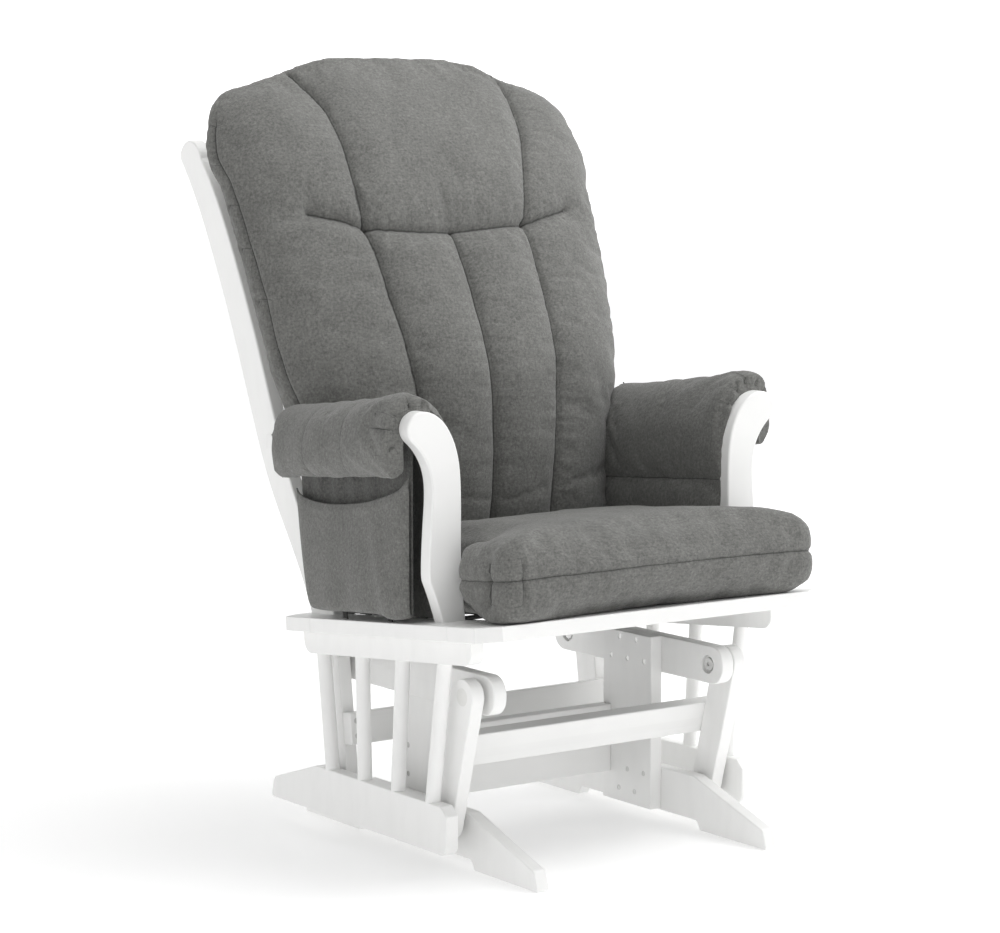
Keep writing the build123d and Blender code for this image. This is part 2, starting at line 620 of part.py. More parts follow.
def arm_pad():
    """A saddle-shaped pad: inner panel, top and a thick outer roll, open below."""
    panel = PANEL_X
    outline = [(panel, -336), (panel, -76), (226, -44), (238, -20), (258, -5), (284, 0), (308, -6),
               (324, -24), (331, -51), (330, -80), (324, -98), (316, -120), (299, -120),
               (299, -31.5), (242, -31.5), (panel + 10, -58), (panel + 10, -336)]
    length = PAD_REAR_Y - PAD_FRONT_Y
    frame = Location((0, PAD_FRONT_Y, PAD_TOP_Z), (-math.degrees(math.atan(PAD_SLOPE)), 0, 0))
    plane = Plane(origin=(0, -60, 0), x_dir=(1, 0, 0), z_dir=(0, -1, 0))
    pad = frame * extrude(plane * make_face(Polyline(*outline, close=True)), amount=-length - 120)
    pad = pad & brick((200, 350), (PAD_FRONT_Y, PAD_REAR_Y), (200, 700))
    corner = [(200, 128), (252, 150), (290, 196), (200, 196)]
    wedge = extrude(Plane.XY.offset(200) * make_face(Polyline(*corner, close=True)), amount=500)
    under_panel = DECK * brick((200, 240), (0, 600), (-200, 7))
    flap = [(PAD_FRONT_Y - 5, 300), (PAD_FRONT_Y - 5, 532), (PAD_REAR_Y + 5, 505), (PAD_REAR_Y + 5, 300)]
    under_flap = extrude(Plane.YZ.offset(280) * make_face(Polyline(*flap, close=True)), amount=80)
    return pad - [wedge, under_panel, under_flap]


def side_pocket():
    """A flat cloth pocket that hangs under the arm: two layers joined at three edges."""
    x0, x1 = POCKET_X
    back = [(-92, 345), (150, 322), (182, 474), (182, 541), (-92, 574)]
    bag = [(-92, 345), (150, 322), (182, 474), (60, 468), (-50, 482), (-92, 512)]
    layer = extrude(Plane.YZ.offset(x0) * make_face(Polyline(*back, close=True)), amount=POCKET_CLOTH)
    body = extrude(Plane.YZ.offset(x0 + POCKET_CLOTH) * make_face(Polyline(*bag, close=True)),
                   amount=x1 - x0 - POCKET_CLOTH)
    room = [(-89, 349), (147, 326), (179, 474), (179, 520), (-89, 560)]
    hollow = extrude(Plane.YZ.offset(x0 + POCKET_CLOTH) * make_face(Polyline(*room, close=True)),
                     amount=x1 - x0 - 2 * POCKET_CLOTH)
    return layer + (body - hollow)


def pocket_ties():
    """Short cloth ties from the pocket's lower edge to the deck."""
    ties = []
    for y in (-40.0, 70.0):
        top_z = 344.4 - (y + 98) * (23 / 238)
        low_z = deck_point(y - 6 - DECK_FRONT_Y, 0)[2] + 0.5
        ties.append(brick((275.5, 277.5), (y - 6, y + 6), (low_z, top_z)))
    return ties


# ---------------------------------------------------------------- assembly
def make_seat_unit():
    rail_screws, rail_holes = make_sides()
    arm_screws = [screw(p, DECK_NORMAL, 50) for p in arm_screw_places()]
    arm_holes = [screw_hole(p, DECK_NORMAL, 50) for p in arm_screw_places()]
    back_bolts = [screw(p, DECK_NORMAL, 60, 6.0, 3.0) for p in back_bolt_places()]
    back_holes = [screw_hole(p, DECK_NORMAL, 60, 6.0, 3.0) for p in back_bolt_places()]
    make_deck(rail_holes, arm_holes, back_holes)
    make_webbing()
    post = cut(back_post(), back_holes)
    front_post = cut(arm_post(), arm_holes)
    board = arm_board(back_post())
    for side, place in (("right", lambda s: s), ("left", mirrored)):
        keep(side + "_arm_post", place(front_post))
        keep(side + "_back_post", place(post))
        keep(side + "_arm_board", place(board))
    make_back(back_post())
    screws = rail_screws + arm_screws + back_bolts
    keep("frame_screws", [s for one in screws for s in both(one)])
    keep("seat_cushion", seat_cushion())
    keep("back_cushion", back_cushion())
    pad, pocket = arm_pad(), side_pocket()
    keep("right_arm_pad", pad)
    keep("left_arm_pad", mirrored(pad))
    keep("right_side_pocket", pocket)
    keep("left_side_pocket", mirrored(pocket))
    keep("pocket_ties", [s for one in pocket_ties() for s in both(one)])


def write_parts():
    os.makedirs("parts", exist_ok=True)
    for name, solids in NODES.items():
        flat = [piece for part in solids for piece in part.solids()]
        export_step(Pos(0, ORIGIN_Y, 0) * Compound(children=flat), "parts/" + name + ".step")


make_base()
make_swings()
make_seat_unit()
write_parts()
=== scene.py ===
import json
import math

import bpy
import numpy as np
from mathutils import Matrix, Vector


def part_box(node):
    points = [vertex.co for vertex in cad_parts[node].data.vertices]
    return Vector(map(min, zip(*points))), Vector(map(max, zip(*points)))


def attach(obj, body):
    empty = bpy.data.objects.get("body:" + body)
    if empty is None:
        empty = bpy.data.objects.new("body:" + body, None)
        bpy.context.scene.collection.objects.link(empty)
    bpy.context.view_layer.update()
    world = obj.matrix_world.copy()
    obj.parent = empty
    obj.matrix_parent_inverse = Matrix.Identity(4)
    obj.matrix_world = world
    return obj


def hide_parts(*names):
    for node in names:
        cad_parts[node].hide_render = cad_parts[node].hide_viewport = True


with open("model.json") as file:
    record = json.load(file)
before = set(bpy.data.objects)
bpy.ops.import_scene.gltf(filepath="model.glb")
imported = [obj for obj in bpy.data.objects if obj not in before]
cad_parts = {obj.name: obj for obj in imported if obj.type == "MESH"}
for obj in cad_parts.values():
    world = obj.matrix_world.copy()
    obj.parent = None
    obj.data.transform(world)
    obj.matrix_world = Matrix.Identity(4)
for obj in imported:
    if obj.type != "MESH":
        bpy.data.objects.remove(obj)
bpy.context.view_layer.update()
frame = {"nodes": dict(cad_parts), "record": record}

# Lengths in this script are millimetres in the chair's layout: X from the chair's middle, Z from the
# floor, Y from the layout's zero, which the arm post's front face fixes. metres() turns them into the
# frame of the CAD.
ARM_POST_FRONT = -130.0
SHIFT_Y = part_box("right_arm_post")[0].y * 1000 - ARM_POST_FRONT
DECK_TILT = math.radians(5.65)
DECK_FRONT = (-265.0, 350.6)            # Y and Z of the deck's upper front edge
SEAT = "seat_unit"


def metres(points):
    """Layout points in millimetres as frame points in metres."""
    p = np.asarray(points, float)
    return (p + np.array([0.0, SHIFT_Y, 0.0])) / 1000


def layout(points):
    """Frame points in metres as layout points in millimetres."""
    return np.asarray(points, float) * 1000 - np.array([0.0, SHIFT_Y, 0.0])


# ---------------------------------------------------------------- camera, light, floor
def make_camera():
    data = bpy.data.cameras.new("camera")
    data.lens, data.sensor_width = 100.0, 36.0
    data.clip_start, data.clip_end = 0.1, 200
    camera = bpy.data.objects.new("camera", data)
    bpy.context.scene.collection.objects.link(camera)
    camera.location = metres((-2255.8, -3067.7, 925.4))
    camera.rotation_euler = (math.radians(90 - 6.175), 0, math.radians(-35.455))
    bpy.context.scene.camera = camera


def area_light(name, place, target, size, power):
    data = bpy.data.lights.new(name, "AREA")
    data.shape, data.size, data.size_y, data.energy = "RECTANGLE", size[0], size[1], power
    lamp = bpy.data.objects.new(name, data)
    bpy.context.scene.collection.objects.link(lamp)
    lamp.location = place
    lamp.rotation_euler = (Vector(target) - Vector(place)).to_track_quat("-Z", "Y").to_euler()


def glowing(name, colour, strength, near=None):
    """A matte studio surface that glows; near gives the radii between which a floor's glow sets in."""
    material = bpy.data.materials.new(name)
    material.use_nodes = True
    tree = material.node_tree
    shader = tree.nodes["Principled BSDF"]
    shader.inputs["Base Color"].default_value = (colour, colour, colour, 1)
    shader.inputs["Roughness"].default_value = 0.6
    shader.inputs["Specular IOR Level"].default_value = 0.15
    shader.inputs["Emission Color"].default_value = (1, 1, 1, 1)
    shader.inputs["Emission Strength"].default_value = strength
    if near:
        place = tree.nodes.new("ShaderNodeTexCoord")
        length = tree.nodes.new("ShaderNodeVectorMath")
        length.operation = "LENGTH"
        grade = tree.nodes.new("ShaderNodeMapRange")
        grade.interpolation_type = "SMOOTHSTEP"
        values = {"From Min": near[0], "From Max": near[1], "To Min": near[2], "To Max": strength}
        for key, value in values.items():
            grade.inputs[key].default_value = value
        tree.links.new(place.outputs["Object"], length.inputs[0])
        tree.links.new(length.outputs["Value"], grade.inputs["Value"])
        tree.links.new(grade.outputs["Result"], shader.inputs["Emission Strength"])
    return material


def stage_piece(name, points, faces, material):
    mesh = bpy.data.meshes.new(name)
    mesh.from_pydata(points, [], faces)
    piece = bpy.data.objects.new(name, mesh)
    bpy.context.scene.collection.objects.link(piece)
    mesh.materials.append(material)


def make_studio():
    world = bpy.data.worlds.new("studio")
    bpy.context.scene.world = world
    world.use_nodes = True
    background = world.node_tree.nodes["Background"]
    background.inputs["Color"].default_value = (1, 1, 1, 1)
    background.inputs["Strength"].default_value = WORLD
    for name, place, target, size, power in LAMPS:
        area_light(name, place, target, size, power)
    r, high, sides = 40.0, 10.0, 48
    angles = [2 * math.pi * k / sides for k in range(sides)]
    ring = [(r * math.cos(a), r * math.sin(a)) for a in angles]
    stage_piece("floor", [(x, y, 0) for x, y in ring], [tuple(range(sides))],
                glowing("floor", 0.88, FLOOR_FAR, (FLOOR_RISE[0], FLOOR_RISE[1], FLOOR_NEAR)))
    wall = [(x, y, 0) for x, y in ring] + [(x, y, high) for x, y in ring]
    faces = [(k, k + sides, (k + 1) % sides + sides, (k + 1) % sides) for k in range(sides)]
    stage_piece("wall", wall, faces, glowing("wall", 0.5, 0.95))
    bpy.context.scene.view_settings.view_transform = "Standard"


WORLD = 0.47
FLOOR_FAR, FLOOR_NEAR, FLOOR_RISE = 0.56, 0.31, (0.9, 4.5)
LAMPS = [("key", (2.6, -1.6, 3.4), (0, 0, 0.5), (1.6, 1.6), 30),
         ("side", (3.6, -0.6, 2.4), (0, 0, 0.5), (2.0, 2.0), 28),
         ("top", (0.9, -0.4, 3.6), (0, 0, 0.5), (2.4, 2.4), 58),
         ("high", (1.6, -2.0, 4.2), (0, 0, 0.5), (1.6, 1.6), 10),
         ("back", (0.8, 2.8, 3.4), (0, 0, 0.5), (2.4, 2.4), 12)]


make_camera()
make_studio()


# ---------------------------------------------------------------- materials
class Nodes:
    """Short calls to build a material's node tree."""

    def __init__(self, name):
        self.material = bpy.data.materials.new(name)
        self.material.use_nodes = True
        self.tree = self.material.node_tree
        self.shader = self.tree.nodes["Principled BSDF"]

    def add(self, kind, settings=None, **inputs):
        node = self.tree.nodes.new("ShaderNode" + kind)
        for key, value in (settings or {}).items():
            setattr(node, key, value)
        for key, value in inputs.items():
            self.put(node, key.replace("_", " "), value)
        return node

    def put(self, node, key, value):
        socket = node.inputs[int(key) if key.isdigit() else key]
        if isinstance(value, bpy.types.NodeSocket):
            self.tree.links.new(value, socket)
        else:
            socket.default_value = value

    def math(self, operation, a, b=0.0, clamp=False):
        node = self.tree.nodes.new("ShaderNodeMath")
        node.operation, node.use_clamp = operation, clamp
        self.put(node, "0", a)
        self.put(node, "1", b)
        return node.outputs[0]

    def ramp(self, value, stops):
        node = self.tree.nodes.new("ShaderNodeValToRGB")
        self.put(node, "Fac", value)
        elements = node.color_ramp.elements
        while len(elements) < len(stops):
            elements.new(0.5)
        for element, (place, colour) in zip(elements, stops):
            element.position = place
            element.color = (*colour, 1)
        return node.outputs["Color"]

    def scaled(self, coordinates, scale):
        node = self.add("Mapping")
        self.put(node, "Vector", coordinates)
        self.put(node, "Scale", scale)
        return node.outputs["Vector"]

    def noise(self, coordinates, scale, detail=2.0, roughness=0.5):
        node = self.add("TexNoise")
        self.put(node, "Vector", coordinates)
        self.put(node, "Scale", scale)
        self.put(node, "Detail", detail)
        self.put(node, "Roughness", roughness)
        return node.outputs["Fac"]

    def bump(self, height, strength, distance, below=None):
        node = self.add("Bump")
        self.put(node, "Height", height)
        self.put(node, "Strength", strength)
        self.put(node, "Distance", distance)
        if below is not None:
            self.put(node, "Normal", below)
        return node.outputs["Normal"]

    def finish(self, colour, normal, roughness, **constants):
        self.put(self.shader, "Base Color", colour)
        self.put(self.shader, "Normal", normal)
        self.put(self.shader, "Roughness", roughness)
        for key, value in constants.items():
            self.put(self.shader, key.replace("_", " "), value)
        return self.material


SEAM_FIELDS = ("seam_a", "seam_b", "seam_c", "seam_d", "seam_e", "seam_f")


def seam_line(n, width):
    """How much a point lies on a seam, the mask of the painted seam shade: the mesh carries its signed
    distance to each seam in mm.
    """
    shade = None
    for field in SEAM_FIELDS:
        distance = n.add("Attribute", {"attribute_name": field}).outputs["Fac"]
        away = n.math("SUBTRACT", n.math("ABSOLUTE", distance), 0.02)
        ridge = n.math("SUBTRACT", 1.0, n.math("DIVIDE", away, width), True)
        known = n.math("GREATER_THAN", n.math("ABSOLUTE", distance), 0.00001)
        ridge = n.math("MULTIPLY", ridge, known)
        shade = ridge if shade is None else n.math("MAXIMUM", shade, ridge)
    return shade


def cloth_material(name, dark, middle, light, pitch=0.0017, seams=False):
    """Heathered woven cloth: two crossing sets of slubbed threads, mottled over larger patches. With seams,
    painted shade darkens the cloth along the seam lines.
    """
    n = Nodes(name)
    place = n.add("TexCoord").outputs
    point, normal = place["Object"], place["Normal"]
    facing = n.add("SeparateXYZ")
    n.put(facing, "Vector", normal)
    fine = n.noise(point, 700, 2, 0.6)
    heather = n.noise(point, 260, 3, 0.7)
    slub_x = n.noise(n.scaled(point, (0.28, 1, 1)), 420, 2, 0.6)
    slub_z = n.noise(n.scaled(point, (1, 1, 0.28)), 420, 2, 0.6)
    patch = n.noise(point, 22, 2, 0.5)
    cloud = n.noise(point, 5, 1, 0.5)
    mix = n.math("MULTIPLY", heather, 0.62)
    for part, share in ((fine, 0.16), (slub_x, 0.28), (slub_z, 0.22), (patch, 0.16), (cloud, 0.12)):
        mix = n.math("ADD", mix, n.math("MULTIPLY", part, share))
    colour = n.ramp(n.math("DIVIDE", mix, 1.56), [(0.38, dark), (0.5, middle), (0.62, light)])
    threads = None
    wobble = n.noise(point, 90, 2, 0.5)
    for axis in ("X", "Y", "Z"):
        wave = n.add("TexWave", {"wave_type": "BANDS", "bands_direction": axis, "wave_profile": "SIN"})
        n.put(wave, "Vector", point)
        n.put(wave, "Scale", 0.314 / pitch)
        n.put(wave, "Distortion", 0.8)
        n.put(wave, "Detail", 1.0)
        across = n.math("SUBTRACT", 1.0, n.math("POWER", facing.outputs[axis], 2.0))
        one = n.math("MULTIPLY", wave.outputs["Fac"], across)
        threads = one if threads is None else n.math("ADD", threads, one)
    threads = n.math("MULTIPLY", threads, n.math("ADD", wobble, 0.4))
    height = n.math("ADD", n.math("MULTIPLY", threads, 0.5), n.math("ADD", fine, heather))
    rough = n.bump(height, 0.55, 0.0009)
    soft = n.bump(n.noise(point, 35, 3, 0.6), 0.35, 0.0022, rough)
    if seams:
        # Painted shade along the seams: a wide soft band and a narrow dark line darken the cloth where the
        # seam grooves lie in shade.
        wide, narrow = seam_line(n, 6.0), seam_line(n, 1.5)
        wide = n.math("MULTIPLY", n.math("POWER", wide, 2.0), 0.22)
        painted_seam_shade = n.math("ADD", wide, n.math("MULTIPLY", narrow, 0.5))
        unshaded_share = n.math("SUBTRACT", 1.0, painted_seam_shade, True)
        shaded = n.add("VectorMath", {"operation": "SCALE"})
        n.put(shaded, "0", colour)
        n.put(shaded, "Scale", unshaded_share)
        colour = shaded.outputs[0]
    return n.finish(colour, soft, n.math("ADD", n.math("MULTIPLY", fine, 0.1), 0.86),
                    Sheen_Weight=0.22, Sheen_Roughness=0.45, Specular_IOR_Level=0.22)


def paint_material(name, colour, shade):
    """Satin paint on wood: a faint grain and brush marks, edges and corners slightly rubbed."""
    n = Nodes(name)
    point = n.add("TexCoord").outputs["Object"]
    grain = n.noise(n.scaled(point, (1, 0.12, 0.12)), 190, 4, 0.6)
    brush = n.noise(n.scaled(point, (0.15, 1, 0.3)), 60, 3, 0.5)
    cloud = n.noise(point, 6, 2, 0.5)
    edge = n.add("NewGeometry").outputs["Pointiness"]
    rubbed = n.math("MULTIPLY", n.math("SUBTRACT", edge, 0.53), 5.0, True)
    tone = n.math("ADD", n.math("MULTIPLY", cloud, 0.5), n.math("MULTIPLY", brush, 0.5))
    tone = n.math("ADD", tone, n.math("MULTIPLY", rubbed, -0.25))
    base = n.ramp(tone, [(0.2, shade), (0.55, colour)])
    height = n.math("ADD", n.math("MULTIPLY", grain, 0.6), n.math("MULTIPLY", brush, 0.4))
    normal = n.bump(height, 0.16, 0.0006)
    roughness = n.math("ADD", n.math("MULTIPLY", brush, 0.12), 0.36)
    return n.finish(base, normal, roughness, Coat_Weight=0.12, Coat_Roughness=0.3,
                    Specular_IOR_Level=0.45)


def metal_material(name, colour):
    """Zinc plate: fine turning marks and cloudy gloss."""
    n = Nodes(name)
    point = n.add("TexCoord").outputs["Object"]
    marks = n.noise(n.scaled(point, (1, 0.2, 1)), 900, 2, 0.6)
    cloud = n.noise(point, 120, 3, 0.6)
    base = n.ramp(cloud, [(0.3, tuple(0.82 * c for c in colour)), (0.7, colour)])
    normal = n.bump(marks, 0.15, 0.0002)
    roughness = n.math("ADD", n.math("MULTIPLY", marks, 0.2), 0.22)
    return n.finish(base, normal, roughness, Metallic=1.0)


def plastic_material(name, colour):
    """Moulded plastic with a fine matte grain."""
    n = Nodes(name)
    point = n.add("TexCoord").outputs["Object"]
    grain = n.noise(point, 1500, 2, 0.5)
    cloud = n.noise(point, 60, 2, 0.5)
    base = n.ramp(cloud, [(0.3, tuple(0.93 * c for c in colour)), (0.7, colour)])
    return n.finish(base, n.bump(grain, 0.2, 0.0002), n.math("ADD", n.math("MULTIPLY", grain, 0.2), 0.4),
                    Specular_IOR_Level=0.4)


def grey(value):
    return (value, 1.003 * value, 0.95 * value)


PAINT = paint_material("white_paint", (0.89, 0.89, 0.88), (0.84, 0.84, 0.83))
GREYS = (grey(0.10), grey(0.158), grey(0.23))
CLOTH = cloth_material("grey_cloth", *GREYS)
# Cloth with painted shade along its seams.
SEAM_SHADED_CLOTH = cloth_material("grey_cloth_seam_shade", *GREYS, seams=True)
# The pocket's back panel: the same heathered cloth made darker, painted shade for the inside of the pocket.
SHADED_POCKET_BACK_CLOTH = cloth_material("grey_pocket_back_painted_shade", grey(0.05), grey(0.10), grey(0.17))
WEBBING = cloth_material("webbing", grey(0.02), grey(0.035), grey(0.06), 0.0024)
ZINC = metal_material("zinc", (0.70, 0.70, 0.69))
NYLON = plastic_material("nylon", (0.84, 0.84, 0.82))
MATERIALS = {"white_paint": PAINT, "grey_fabric": CLOTH, "zinc_steel": ZINC, "bearing_nylon": NYLON,
             "webbing": WEBBING}


def finish_cad_nodes():
    """Every CAD node takes the procedural material of its slot."""
    slots = {row["node"]: row["material_slot"] for row in frame["record"]["subparts"]}
    for name, node in frame["nodes"].items():
        material = MATERIALS[slots[name]]
        node.data.materials.clear()
        node.data.materials.append(material)
        for face in node.data.polygons:
            face.material_index = 0


finish_cad_nodes()


# ---------------------------------------------------------------- mesh helpers
def make_object(name, points, faces, material=CLOTH, smooth=True):
    """A mesh object from layout points."""
    mesh = bpy.data.meshes.new(name)
    mesh.from_pydata(metres(points).tolist(), [], faces)
    mesh.update()
    thing = bpy.data.objects.new(name, mesh)
    bpy.context.scene.collection.objects.link(thing)
    mesh.materials.append(material)
    mesh.polygons.foreach_set("use_smooth", [smooth] * len(mesh.polygons))
    return thing


def get_points(thing):
    co = np.empty(len(thing.data.vertices) * 3, np.float64)
    thing.data.vertices.foreach_get("co", co)
    return layout(co.reshape(-1, 3))


def set_points(thing, points):
    thing.data.vertices.foreach_set("co", metres(points).ravel().astype(np.float32))
    thing.data.update()


def get_normals(thing):
    normals = np.empty(len(thing.data.vertices) * 3, np.float64)
    thing.data.vertices.foreach_get("normal", normals)
    return normals.reshape(-1, 3)


def apply_modifiers(thing):
    graph = bpy.context.evaluated_depsgraph_get()
    mesh = bpy.data.meshes.new_from_object(thing.evaluated_get(graph), depsgraph=graph)
    thing.modifiers.clear()
    old, thing.data = thing.data, mesh
    bpy.data.meshes.remove(old)
    mesh.polygons.foreach_set("use_smooth", [True] * len(mesh.polygons))


def remesh(thing, voxel):
    modifier = thing.modifiers.new("remesh", "REMESH")
    modifier.mode, modifier.voxel_size = "VOXEL", voxel / 1000
    apply_modifiers(thing)


def relax(thing, rounds, factor=0.5):
    modifier = thing.modifiers.new("smooth", "SMOOTH")
    modifier.factor, modifier.iterations = factor, rounds
    apply_modifiers(thing)


def without_spikes(thing, points, limit=1.6):
    """The points with every one that stands out from its neighbours put back between them."""
    edges = np.empty(len(thing.data.edges) * 2, np.int32)
    thing.data.edges.foreach_get("vertices", edges)
    a, b = edges.reshape(-1, 2).T
    count = np.bincount(edges, minlength=len(points))[:, None]
    points = points.copy()
    for step in range(8):
        total = np.zeros_like(points)
        np.add.at(total, a, points[b])
        np.add.at(total, b, points[a])
        middle = total / count
        out = np.linalg.norm(points - middle, axis=1) > limit
        points[out] = middle[out]
    return points


def subdivided(thing, points):
    """The object's topology once subdivided, with its vertices at the given points."""
    copy = bpy.data.objects.new("subdivide", thing.data.copy())
    bpy.context.scene.collection.objects.link(copy)
    set_points(copy, points)
    modifier = copy.modifiers.new("subdivide", "SUBSURF")
    modifier.levels = modifier.render_levels = 1
    apply_modifiers(copy)
    return copy


def rest_points(thing, base):
    """The rest points of the subdivided object."""
    copy = subdivided(thing, base)
    points = get_points(copy)
    bpy.data.objects.remove(copy)
    return points


def inflate(thing, pinned, pressure, cap, growth=0.02, frames=20):
    """Blow the closed cloth up a little with a cloth simulation; each point moves at most about cap."""
    start = get_points(thing)
    group = thing.vertex_groups.new(name="pin")
    for index in np.nonzero(pinned > 0.02)[0].tolist():
        group.add([index], float(pinned[index]), "REPLACE")
    cloth = thing.modifiers.new("cloth", "CLOTH")
    settings = cloth.settings
    settings.quality = 4
    settings.mass = 0.25
    settings.tension_stiffness = settings.compression_stiffness = 12
    settings.shear_stiffness = 6
    settings.bending_stiffness = 0.4
    settings.use_pressure = True
    settings.uniform_pressure_force = pressure
    settings.shrink_min = -growth
    settings.effector_weights.gravity = 0
    settings.vertex_group_mass = "pin"
    cloth.collision_settings.use_collision = False
    cloth.collision_settings.use_self_collision = False
    cloth.point_cache.frame_start, cloth.point_cache.frame_end = 1, frames
    scene = bpy.context.scene
    for step in range(1, frames + 1):
        scene.frame_set(step)
    apply_modifiers(thing)
    thing.vertex_groups.clear()
    scene.frame_set(1)
    move = get_points(thing) - start
    length = np.linalg.norm(move, axis=1, keepdims=True) + 1e-9
    moved = start + move * (cap * np.tanh(length / cap) / length)
    set_points(thing, moved)
    return moved


def ripple(points, seed, short, long, count=28):
    """Smooth noise of about -1 to 1 with wavelengths from short to long millimetres."""
    random = np.random.default_rng(seed)
    ways = random.normal(size=(count, 3))
    ways /= np.linalg.norm(ways, axis=1, keepdims=True)
    ways *= 2 * math.pi / random.uniform(short, long, count)[:, None]
    phases = random.uniform(0, 2 * math.pi, count)
    return np.sin(points @ ways.T + phases).sum(1) / math.sqrt(count)


def smooth_line(points, step=4.0, closed=False):
    """A Catmull-Rom curve through the points, sampled about every step millimetres."""
    p = np.asarray(points, float)
    if closed:
        p = np.vstack([p[-1], p, p[0], p[1]])
    else:
        p = np.vstack([2 * p[0] - p[1], p, 2 * p[-1] - p[-2]])
    out = []
    for a, b, c, d in zip(p[:-3], p[1:-2], p[2:-1], p[3:]):
        count = max(2, int(np.linalg.norm(c - b) / step) + 1)
        for t in np.arange(count) / count:
            out.append(0.5 * (2 * b + (c - a) * t + (2 * a - 5 * b + 4 * c - d) * t * t
                              + (3 * b - a - 3 * c + d) * t ** 3))
    if not closed:
        out.append(p[-2])
    return np.array(out)


def line_field(points, line):
    """Distance to a polyline, and the length along it of the nearest point."""
    best = np.full(len(points), 1e9)
    along = np.zeros(len(points))
    run = 0.0
    for a, b in zip(line[:-1], line[1:]):
        side = b - a
        length = np.linalg.norm(side)
        t = np.clip((points - a) @ side / max(length ** 2, 1e-9), 0, 1)
        distance = np.linalg.norm(points - a - t[:, None] * side, axis=1)
        closer = distance < best
        best[closer] = distance[closer]
        along[closer] = run + t[closer] * length
        run += length
    return best, along, run


def signed_field(points, line, side):
    """Distance to a line with a sign for its two sides; beyond the line's ends it stays positive."""
    distance, along, run = line_field(points, line)
    inside = (along > 0.5) & (along < run - 0.5)
    sign = np.where(inside & (side < 0), -1.0, 1.0)
    return sign * np.maximum(distance, 0.02)


FAR = 40.0                  # the largest distance to a seam that is kept


def store_field(thing, name, values):
    """A value for every vertex, kept on the mesh; far from the seam it is level."""
    layer = thing.data.attributes.new(name, "FLOAT", "POINT")
    layer.data.foreach_set("value", np.clip(values, -FAR, FAR).astype(np.float32))


def pucker(along, seed, spacing=17.0):
    """Irregular gathers along a seam."""
    random = np.random.default_rng(seed)
    value = np.zeros_like(along)
    for wave in (1.0, 0.63, 1.7):
        value += np.sin(2 * math.pi * along / (spacing * wave) + random.uniform(0, 6.28))
    return value / 3


def interpolate(z, table):
    """Smooth table look-up: values at heights z from (height, value) rows."""
    rows = np.array(sorted(table), float)
    fine = smooth_line(rows, step=3.0)
    return np.interp(z, fine[:, 0], fine[:, 1])


def ring_faces(rings, count, closed_ends=True):
    """Quads between successive rings of the same number of points, with a fan point at each end."""
    faces = []
    for i in range(rings - 1):
        for j in range(count):
            k = (j + 1) % count
            faces.append((i * count + j, i * count + k, (i + 1) * count + k, (i + 1) * count + j))
    if closed_ends:
        first, last = rings * count, rings * count + 1
        for j in range(count):
            k = (j + 1) % count
            faces.append((first, k, j))
            faces.append((last, (rings - 1) * count + j, (rings - 1) * count + k))
    return faces


def soft_piece(name, thing, node, material=CLOTH):
    """Name, cloth, slot and body of a finished cushion."""
    thing.name = thing.data.name = name
    thing.data.materials.clear()
    thing.data.materials.append(material)
    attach(thing, SEAT)
    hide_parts(node)


def sew(rest, normals, seams):
    """Displacement along the normals made by seams. Each seam: its rest-space distance and length
    along it, its depth, how wide its groove is, its gathers and a mask."""
    move = np.zeros(len(rest))
    for distance, along, depth, width, gather, seed, mask in seams:
        groove = 0.75 * depth * np.exp(-distance / width)
        groove += 0.45 * depth * np.exp(-(distance / 3.2) ** 2)
        near = np.exp(-distance / (1.6 * width)) * (1 - np.exp(-distance / 3.0))
        move += mask * (gather * pucker(along, seed) * near - groove)
    return rest + normals * move[:, None]


# ---------------------------------------------------------------- back cushion
BACK_OUTLINE = [(0, 1084), (100, 1083), (155, 1077), (200, 1061), (240, 1049), (274, 1036), (299, 1014),
                (313, 985), (320, 950), (320, 925), (312, 898), (310, 868), (307, 815), (302, 765),
                (298, 715), (293, 672), (286, 632), (277, 601), (264, 560), (251, 500), (240, 435),
                (235, 385), (224, 350), (190, 339), (0, 338)]
FRONT_MIDDLE = [(338, 116), (380, 108), (435, 104), (500, 102), (569, 104), (656, 118), (743, 154),
                (834, 197), (900, 216), (960, 239), (1010, 272), (1050, 318), (1083, 372)]
FRONT_EDGE = [(338, 132), (380, 146), (435, 158), (500, 170), (560, 184), (601, 195), (638, 209),
              (695, 227), (749, 243), (804, 266), (863, 293), (940, 338), (985, 356), (1020, 368),
              (1058, 376), (1083, 382)]
REAR_MIDDLE = [(338, 158), (380, 178), (435, 212), (500, 240), (569, 264), (656, 290), (743, 320),
               (834, 352), (900, 378), (960, 394), (1010, 402), (1050, 406), (1083, 406)]
REAR_EDGE = [(338, 150), (380, 172), (435, 200), (500, 216), (560, 231), (590, 241), (640, 254), (692, 265),
             (813, 310), (934, 368), (981, 381), (1010, 388), (1040, 392), (1083, 398)]
BACK_HUB = np.array([0.0, 700.0])


def back_outline(step=7.0):
    """The closed outline in X and Z."""
    half = smooth_line(BACK_OUTLINE, step)
    other = half[1:-1][::-1] * (-1, 1)
    return np.vstack([half, other])


def edge_line(table, grow=0.0):
    """The seam where the front or rear panel meets the boxing."""
    outline = back_outline()
    away = outline - BACK_HUB
    away /= np.linalg.norm(away, axis=1, keepdims=True)
    spot = outline + grow * away
    return np.column_stack([spot[:, 0], interpolate(outline[:, 1], table), spot[:, 1]])


def closed_edge(table):
    line = edge_line(table)
    return np.vstack([line, line[:1]])


def edge_tucks():
    """Short tucks across the seam between the front panel and the boxing."""
    lines = []
    for side in (-1, 1):
        for z, reach in ((985, 14), (925, 24), (872, 20), (812, 22), (742, 16)):
            x = float(np.interp(z, *zip(*sorted((q, p) for p, q in BACK_OUTLINE[1:-2]))))
            y = float(interpolate(z, FRONT_EDGE))
            lines.append(np.array([(side * (x - 9), y - 9, z + 3), (side * (x + 3), y + reach, z - 3)]))
    return lines


